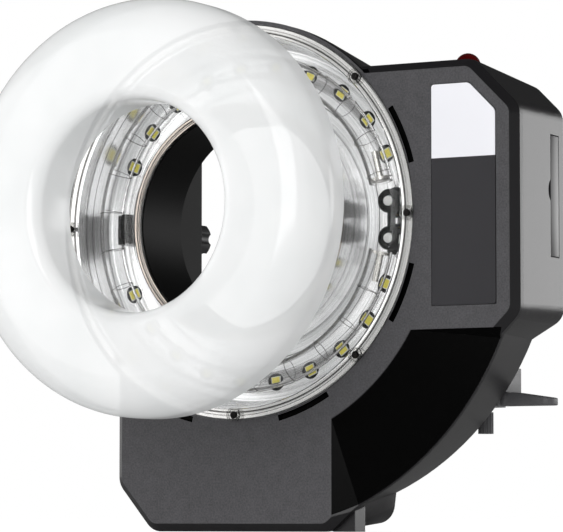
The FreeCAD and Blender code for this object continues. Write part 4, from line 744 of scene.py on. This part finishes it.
@dataclass
class RingHead:
    """Reflector, flash tube, modelling lamps and the clear cover with its screws."""

    floor: float = 24.0 * MM
    tube_circle: float = 79.0 * MM
    tube_depth: float = 10.0 * MM
    tube_start: float = 12.3
    cover_radius: float = 100.0 * MM
    cover_inner: float = 54.9 * MM
    cover_wall: float = 1.6 * MM
    cover_back: float = -0.02 * MM
    dome_foot: float = -2.2 * MM
    dome_rise: float = 3.3 * MM
    dome_steps: int = 10
    screw_count: int = 8
    screw_circle: float = 97.0 * MM
    screw_seat: float = -1.6 * MM
    screw_tip: float = 4.8 * MM
    led_circle: float = 80.5 * MM
    led_frame: Vector = field(default_factory=lambda: Vector((5.2, 0.88, 5.2)) * MM)
    led_phosphor: Vector = field(default_factory=lambda: Vector((4.4, 0.1, 4.4)) * MM)
    boot_heights: tuple[float, float] = (7.9 * MM, -10.5 * MM)
    led_angles: list[float] = field(default_factory=lambda: [
        side * (24.0 + 14.65 * k) for side in (1, -1) for k in range(10)])

    def build(self, frame: dict[str, Any]) -> None:
        """Make and dress every piece of the head.

        Args:
            frame: The loaded frame.
        """
        dress(frame, "board", "led_board")
        dress(frame, "mirror", "reflector_ring")
        dress(frame, "quartz", "flash_tube")
        dress(frame, "steel", "tube_electrodes")
        dress(frame, "boot", "tube_clip")
        make_piece("turned_boots", "housing", self.boots, ["boot"],
                   ["tube_end_boots"])
        make_piece("domed_caps", "housing", self.caps, ["cap"], ["boot_caps"])
        make_piece("cover", "housing", self.cover, ["cover"], ["clear_cover"])
        make_piece("cover_bosses", "housing", self.bosses, ["boss"])
        make_piece("cover_screw_set", "housing", self.screws, ["dark_screw"],
                   ["cover_screws"])
        make_piece("trigger_winding", "housing", self.winding, ["wire"],
                   ["trigger_wire"])
        make_piece("led_packages", "housing", self.leds, ["led_frame", "phosphor"],
                   ["modelling_leds"])

    def dome_point(self, low: float, high: float, share: float,
                   wall: float = 0.0) -> tuple[float, float]:
        """Give a point of the cover's dome.

        Args:
            low: The radius at which the dome starts.
            high: The radius at which it ends.
            share: How far out the point lies between them, from 0 to 1.
            wall: How far it lies behind the outside.

        Returns:
            Its radius and depth.
        """
        rise = math.sin(math.pi * share) ** 0.35 if 0 < share < 1 else 0.0
        return low + (high - low) * share, self.dome_foot - self.dome_rise * rise + wall

    def cover(self, mesh: bmesh.types.BMesh) -> None:
        """Spin the clear cover: two flanges and a low dome between them.

        Args:
            mesh: The mesh to fill.
        """
        r_in, r_out = self.cover_inner, self.cover_radius
        low, high = r_in + 4.4 * MM, r_out - 6.0 * MM
        steps = self.dome_steps
        outside = [(r_in, -0.4 * MM), (r_in, -2.3 * MM), (r_in + 0.3 * MM, -2.5 * MM),
                   (r_in + 4.2 * MM, -2.5 * MM)]
        outside += [self.dome_point(low, high, i / steps) for i in range(steps + 1)]
        outside += [(high + 0.2 * MM, -1.2 * MM), (high + 3.2 * MM, -1.2 * MM),
                    (high + 3.5 * MM, -1.6 * MM), (r_out - 0.4 * MM, -1.6 * MM),
                    (r_out, -1.3 * MM), (r_out, self.cover_back)]
        inside = [(high - 0.4 * MM, self.cover_back)]
        inside += [self.dome_point(low, high, i / steps, self.cover_wall)
                   for i in range(steps - 1, 0, -1)]
        inside += [(low + 0.4 * MM, self.cover_back), (r_in, self.cover_back)]
        spin_profile(mesh, outside + inside, 192)

    def bosses(self, mesh: bmesh.types.BMesh) -> None:
        """Raise a low round wall about each screw, cut off at the cover's rim.

        Args:
            mesh: The mesh to fill.
        """
        rim = Vector((self.cover_radius - 0.05 * MM, 0.0, 0.0))
        for number in range(self.screw_count):
            part = bmesh.new()
            spin_profile(part, in_metres(BOSS_PROFILE), 32, RIGHT * self.screw_circle)
            made = bmesh.ops.bisect_plane(part, geom=part.verts[:] + part.edges[:] + part.faces[:],
                                          plane_co=rim, plane_no=RIGHT, clear_outer=True)
            bmesh.ops.holes_fill(part, edges=[item for item in made["geom_cut"]
                                              if isinstance(item, bmesh.types.BMEdge)], sides=0)
            bmesh.ops.recalc_face_normals(part, faces=part.faces[:])
            bmesh.ops.rotate(part, verts=part.verts[:], cent=(0, 0, 0),
                             matrix=Matrix.Rotation(math.radians(45 * number), 3, "Y"))
            join_part(mesh, part)

    def screws(self, mesh: bmesh.types.BMesh) -> None:
        """Add the pan-head screws with a cross cut into each head.

        Args:
            mesh: The mesh to fill.
        """
        head, height, shank = 1.9 * MM, 0.9 * MM, 1.1 * MM
        seat = self.screw_seat
        profile = [(0.0, self.screw_tip), (shank, self.screw_tip), (shank, seat + 0.05 * MM),
                   (head, seat + 0.05 * MM), (head, seat - height * 0.45),
                   (head * 0.8, seat - height * 0.9), (head * 0.3, seat - height),
                   (0.0, seat - height)]
        for number in range(self.screw_count):
            part = bmesh.new()
            spin_profile(part, profile, 24, closed=False)
            for turn in (0.3 + number, 0.3 + number + math.pi / 2):
                add_block(part, Vector((0, seat - height, 0)),
                          Vector((head * 1.15, 0.12 * MM, 0.45 * MM)), 0.0,
                          Matrix.Rotation(turn, 4, "Y"))
            centre = ring_direction(math.radians(45 * number)) * self.screw_circle
            bmesh.ops.translate(part, verts=part.verts[:], vec=centre)
            join_part(mesh, part)

    def boots(self, mesh: bmesh.types.BMesh) -> None:
        """Turn two boots, each with a rounded lip and a groove, and join them by a web.

        Args:
            mesh: The mesh to fill.
        """
        for height in self.boot_heights:
            spin_profile(mesh, in_metres(BOOT_PROFILE), 48,
                         RIGHT * self.tube_circle + UP * height, closed=False)
        top, low = self.boot_heights
        add_block(mesh, Vector((self.tube_circle, 17.7 * MM, (top + low) / 2)),
                  Vector((3.6 * MM, 4.0 * MM, top - low)), 0.4 * MM)

    def caps(self, mesh: bmesh.types.BMesh) -> None:
        """Turn the two low domed caps on the boots.

        Args:
            mesh: The mesh to fill.
        """
        for height in self.boot_heights:
            spin_profile(mesh, in_metres(CAP_PROFILE), 36,
                         RIGHT * self.tube_circle + UP * height, closed=False)

    def leds(self, mesh: bmesh.types.BMesh) -> None:
        """Add the lamps: a pale frame with a sunk square of phosphor in each.

        Args:
            mesh: The mesh to fill.
        """
        seat = self.floor + 1.3 * MM
        for degrees in self.led_angles:
            angle = math.radians(degrees)
            centre = ring_direction(angle) * self.led_circle
            turn = Matrix.Rotation(-angle, 4, "Y")
            add_block(mesh, centre + BACK * (seat - 0.45 * MM), self.led_frame, 0.15 * MM, turn)
            add_block(mesh, centre + BACK * (seat - 0.93 * MM), self.led_phosphor, 0.04 * MM,
                      turn, 1)

    def winding(self, mesh: bmesh.types.BMesh) -> None:
        """Loop the trigger wire round the tube again and again, with a run along it between.

        Args:
            mesh: The mesh to fill.
        """
        coil, wire, turns, steps = 6.37 * MM, 0.17 * MM, 23, 26
        loop_steps, loop_share, lead = 20, 0.12, 1.5
        start = math.radians(self.tube_start + lead)
        whole = 2.0 * (math.pi - start)
        line = []
        for i in range(turns * steps + 1):
            turn, step = divmod(i, steps)
            looped = min(step / loop_steps, 1.0)
            run = max(step - loop_steps, 0) / (steps - loop_steps)
            along = start + whole * (turn + loop_share * looped + (1 - loop_share) * run) / turns
            round_tube = 2.0 * math.pi * looped
            out = ring_direction(along)
            line.append(out * (self.tube_circle + coil * math.cos(round_tube))
                        + BACK * (self.tube_depth + coil * math.sin(round_tube)))
        curve = bpy.data.curves.new("winding", "CURVE")
        curve.dimensions = "3D"
        curve.bevel_depth, curve.bevel_resolution = wire, 1
        curve.use_fill_caps = True
        spline = curve.splines.new("POLY")
        spline.points.add(len(line) - 1)
        for point, place in zip(spline.points, line):
            point.co = (*place, 1.0)
        holder = bpy.data.objects.new("winding", curve)
        tube = bpy.data.meshes.new_from_object(holder)
        mesh.from_mesh(tube)
        bpy.data.objects.remove(holder)
        bpy.data.curves.remove(curve)
        bpy.data.meshes.remove(tube)
        bmesh.ops.remove_doubles(mesh, verts=mesh.verts[:], dist=1e-7)
        bmesh.ops.recalc_face_normals(mesh, faces=mesh.faces[:])


@dataclass
class Housing:
    """The moulded shells, the bore, the label, the dome and the flap."""

    dome_place: Vector = field(default_factory=lambda: Vector((121.0, 18.0, 72.5)) * MM)
    dome_radius: float = 6.3 * MM
    dome_stem: float = 6.5 * MM

    def build(self, frame: dict[str, Any]) -> None:
        """Dress the shells and make the dome.

        Args:
            frame: The loaded frame.
        """
        # The panel finish's near-black colour is painted shade, on the panel turned from the light
        # and in the slot round the cover.
        BUILT["front"] = FrontShellPlastic(
            FINISHES["face"], FINISHES["back"],
            MouldedPlastic("panel_painted_shade_abs", "040404", "070707", 0.2, Lay.POLISH, shine=0.03)).build()
        dress(frame, "front", "front_shell")
        dress(frame, "back", "rear_shell")
        dress(frame, "tunnel", "lens_tunnel")
        soften("flap_skin", "socket_flap", frame, "port_flap", "flap", 0.2 * MM)
        dress(frame, "dark", "socket_block")
        dress(frame, "board", "sensor_board")
        dress(frame, "foot", "rear_feet")
        dress(frame, "steel", "shell_screws")
        make_piece("red_dome", "housing", self.dome, ["dome"], ["sensor_dome"])
        make_piece("label_sheet", "housing", self.label, ["label"], ["label_plate"])

    def label(self, mesh: bmesh.types.BMesh) -> None:
        """Cut the label sheet: one corner taken off, every corner rounded.

        Args:
            mesh: The mesh to fill.
        """
        left, right, top, low = 109.8, 143.9, 61.9, -45.7
        corner, thick, round_by = 14.0, 0.8, 1.4
        points = [(left, top), (right - corner, top), (right, top - corner), (right, low),
                  (left, low)]
        sheet = mesh.faces.new([mesh.verts.new((x * MM, 0.0, z * MM)) for x, z in points])
        grown = bmesh.ops.extrude_face_region(mesh, geom=[sheet])["geom"]
        back = [item for item in grown if isinstance(item, bmesh.types.BMVert)]
        bmesh.ops.translate(mesh, verts=back, vec=BACK * thick * MM)
        upright = [edge for edge in mesh.edges
                   if abs(edge.verts[0].co.y - edge.verts[1].co.y) > 0.5 * thick * MM]
        bmesh.ops.bevel(mesh, geom=upright, offset=round_by * MM, segments=5, profile=0.5,
                        affect="EDGES", material=-1)
        bmesh.ops.recalc_face_normals(mesh, faces=mesh.faces[:])

    def dome(self, mesh: bmesh.types.BMesh) -> None:
        """Spin the dome with its stem.

        Args:
            mesh: The mesh to fill.
        """
        r = self.dome_radius
        profile = [(0.0, -self.dome_stem), (r, -self.dome_stem)]
        profile += [(r * math.cos(math.radians(a)), r * math.sin(math.radians(a)))
                    for a in range(0, 90, 6)]
        profile.append((0.0, r))
        spin_profile(mesh, profile, 64, self.dome_place, UP, closed=False)


class Controls:
    """Display, keys, dial and switch on the back, and the boards behind them."""

    def build(self, frame: dict[str, Any]) -> None:
        """Dress the controls and what lies behind them.

        Args:
            frame: The loaded frame.
        """
        dress(frame, "window", "display_window")
        dress(frame, "dark", "display_module", "control_dial", "power_switch", "battery_latch",
              "battery_bay", "battery_pack")
        dress(frame, "key", "mode_button", "group_button", "sync_button", "lamp_button",
              "set_button")
        dress(frame, "board", "control_board", "power_board")
        dress(frame, "brass", "board_spacers", "battery_contacts")
        dress(frame, "sleeve", "main_capacitors")
        dress(frame, "coil", "trigger_coil")


@dataclass
class Bracket:
    """The clamp behind the lower right, and the lobed knob behind the left of the bore."""

    block_end: float = 116.2 * MM
    tip_start: float = 139.0 * MM
    tip_round: float = 4.5 * MM

    def build(self, frame: dict[str, Any]) -> None:
        """Dress the bracket's pieces.

        Args:
            frame: The loaded frame.
        """
        soften("bracket_casting", "housing", frame, "bracket_block", "painted",
               0.7 * MM, self.shorten)
        soften("lever_casting", "paddle", frame, "clamp_lever", "painted",
               0.6 * MM, self.round_tip)
        dress(frame, "steel", "bracket_screws", "lever_pin")
        dress(frame, "painted", "clamp_knob")
        dress(frame, "dark", "thumb_knob")

    def shorten(self, mesh: bmesh.types.BMesh) -> None:
        """Bring the block's right end in to where the picture shows it."""
        for vert in mesh.verts:
            vert.co.x = min(vert.co.x, self.block_end)

    def round_tip(self, mesh: bmesh.types.BMesh) -> None:
        """Round the two upright edges at the lever's tip.

        Args:
            mesh: The mesh to fill.
        """
        upright = [edge for edge in mesh.edges
                   if min(vert.co.x for vert in edge.verts) > self.tip_start
                   and abs(edge.verts[0].co.z - edge.verts[1].co.z) > 1.0 * MM]
        bmesh.ops.bevel(mesh, geom=upright, offset=self.tip_round, segments=6, profile=0.5,
                        affect="EDGES", material=-1)


@dataclass
class Diffuser:
    """The frosted ring in front: open at the back, round-shouldered in front."""

    outer: float = 101.0 * MM
    hole: float = 51.0 * MM
    rear: float = -74.0 * MM
    depth: float = 30.0 * MM
    wall: float = 2.0 * MM
    outer_round: float = 20.0 * MM
    inner_round: float = 7.0 * MM

    def half(self, inset: float) -> list[tuple[float, float]]:
        """Give the ring's section, moved inwards by an inset, from the outer rim to the inner.

        Args:
            inset: How far the section is moved inwards.

        Returns:
            The radius and depth of each point.
        """
        front = self.rear - self.depth
        points = [(self.outer - inset, self.rear)]
        for degrees in range(0, 91, 6):
            a = math.radians(degrees)
            r = self.outer_round - inset
            points.append((self.outer - self.outer_round + r * math.cos(a),
                           front + self.outer_round - r * math.sin(a)))
        for degrees in range(90, 181, 9):
            a = math.radians(degrees)
            r = self.inner_round - inset
            points.append((self.hole + self.inner_round + r * math.cos(a),
                           front + self.inner_round - r * math.sin(a)))
        points.append((self.hole + inset, self.rear))
        return points

    def build(self) -> None:
        """Make the ring."""
        make_piece("diffuser_ring", "diffuser_ring", self.ring, ["frost"],
                   ["diffuser"])

    def ring(self, mesh: bmesh.types.BMesh) -> None:
        """Spin the wall's section."""
        spin_profile(mesh, self.half(0.0) + self.half(self.wall)[::-1], 192)


@dataclass
class Studio:
    """Pale floor, plain soft light and the camera of the picture."""

    floor_level: float = -155.0 * MM
    place: tuple[float, float, float] = (0.82333, -1.43216, -0.14744)
    lens: float = 211.56
    pitch: float = 94.328
    heading: float = 29.092
    floor_half: float = 6.0
    floor_white: float = 0.88
    floor_glossy: float = 0.05
    floor_bounce: float = 0.6
    lamps: tuple[tuple[str, tuple[float, float, float], tuple[float, float], float], ...] = (
        ("front", (0.45, -2.15, 0.45), (1.6, 1.2), 3.8),
        ("front_left", (-1.9, -1.1, 0.1), (2.4, 2.0), 1.4),
        ("back_right", (1.0, 2.18, 0.18), (2.0, 1.0), 2.2))

    def build(self) -> None:
        """Set up floor, light and camera."""
        scene = bpy.context.scene
        scene.view_settings.view_transform = "Standard"
        self.world(scene)
        self.floor()
        for lamp in self.lamps:
            self.lamp(*lamp)
        lens = bpy.data.cameras.new("view")
        lens.lens = self.lens
        lens.sensor_width = 36.0
        camera = bpy.data.objects.new("view", lens)
        camera.location = self.place
        camera.rotation_euler = (math.radians(self.pitch), 0.0, math.radians(self.heading))
        scene.collection.objects.link(camera)
        scene.camera = camera

    def world(self, scene: bpy.types.Scene) -> None:
        """Light the object from all round, less from above, before a white background.

        Args:
            scene: The scene that gets it.
        """
        world = bpy.data.worlds.new("studio")
        world.use_nodes = True
        tree = world.node_tree
        tree.nodes.clear()
        way = add(tree, "ShaderNodeTexCoord").outputs["Generated"]
        axes = add(tree, "ShaderNodeSeparateXYZ", links={0: way}).outputs
        path = add(tree, "ShaderNodeLightPath")
        lit = sums(tree, "MULTIPLY", spread(tree, axes[1], -0.3, 0.5, 0.64, 1.0),
                   spread(tree, axes[2], 0.2, 0.8, 1.0, 0.6))
        mirrored = sums(tree, "MULTIPLY", spread(tree, axes[1], -0.3, 0.5, 0.5, 1.0),
                        spread(tree, axes[2], 0.0, 0.22, 1.0, 0.04))
        level = add(tree, "ShaderNodeMix", links={0: path.outputs["Is Glossy Ray"], 2: lit,
                                                  3: mirrored}).outputs[0]
        soft = add(tree, "ShaderNodeBackground", {"Color": (1, 1, 1, 1)}, {"Strength": level})
        white = add(tree, "ShaderNodeBackground", {"Color": (1, 1, 1, 1), "Strength": 1.0})
        seen = sums(tree, "MAXIMUM", path.outputs["Is Camera Ray"],
                    path.outputs["Is Transmission Ray"])
        mix = add(tree, "ShaderNodeMixShader",
                  links={0: seen, 1: soft.outputs[0], 2: white.outputs[0]})
        add(tree, "ShaderNodeOutputWorld", links={"Surface": mix.outputs[0]})
        scene.world = world

    def floor(self) -> None:
        """Lay the floor: it catches the shadow and is otherwise as white as the background."""
        mesh = bmesh.new()
        bmesh.ops.create_grid(mesh, x_segments=1, y_segments=1, size=self.floor_half,
                              matrix=Matrix.Translation((0, 0, self.floor_level - 0.1 * MM)))
        data = bpy.data.meshes.new("floor")
        mesh.to_mesh(data)
        mesh.free()
        floor = bpy.data.objects.new("floor", data)
        bpy.context.scene.collection.objects.link(floor)
        material, tree, _ = start_material("floor_paper")
        paper = add(tree, "ShaderNodeBsdfDiffuse", {"Color": colour("8c8c8c")})
        lift = add(tree, "ShaderNodeEmission", {"Color": (1, 1, 1, 1)})
        path = add(tree, "ShaderNodeLightPath")
        seen = sums(tree, "MAXIMUM", path.outputs["Is Camera Ray"],
                    path.outputs["Is Transmission Ray"])
        seen = sums(tree, "MULTIPLY_ADD", path.outputs["Is Glossy Ray"], self.floor_glossy, seen)
        seen = sums(tree, "MULTIPLY_ADD", path.outputs["Is Diffuse Ray"], self.floor_bounce, seen)
        tree.links.new(sums(tree, "MULTIPLY", seen, self.floor_white), lift.inputs["Strength"])
        both = add(tree, "ShaderNodeAddShader", links={0: paper.outputs[0], 1: lift.outputs[0]})
        finish_material(tree, both.outputs[0])
        data.materials.append(material)

    def lamp(self, name: str, place: Sequence[float], size: tuple[float, float],
             level: float) -> None:
        """Hang one softbox that faces the origin.

        Args:
            name: Its name.
            place: Where it hangs.
            size: Its width and height, in metres.
            level: How bright its face is, where 1 is white.
        """
        data = bpy.data.lights.new(name, "AREA")
        data.shape = "RECTANGLE"
        data.size, data.size_y = size
        data.energy = level * math.pi * size[0] * size[1]
        lamp = bpy.data.objects.new(name, data)
        lamp.location = place
        way = -Vector(place)
        lamp.rotation_euler = way.to_track_quat("-Z", "Y").to_euler()
        bpy.context.scene.collection.objects.link(lamp)


def main() -> None:
    """Load the model, dress it and light it."""
    logging.basicConfig(level=logging.INFO)
    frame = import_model()
    Studio().build()
    Housing().build(frame)
    RingHead().build(frame)
    Controls().build(frame)
    Bracket().build(frame)
    Diffuser().build()


if __name__ == "__main__":
    main()
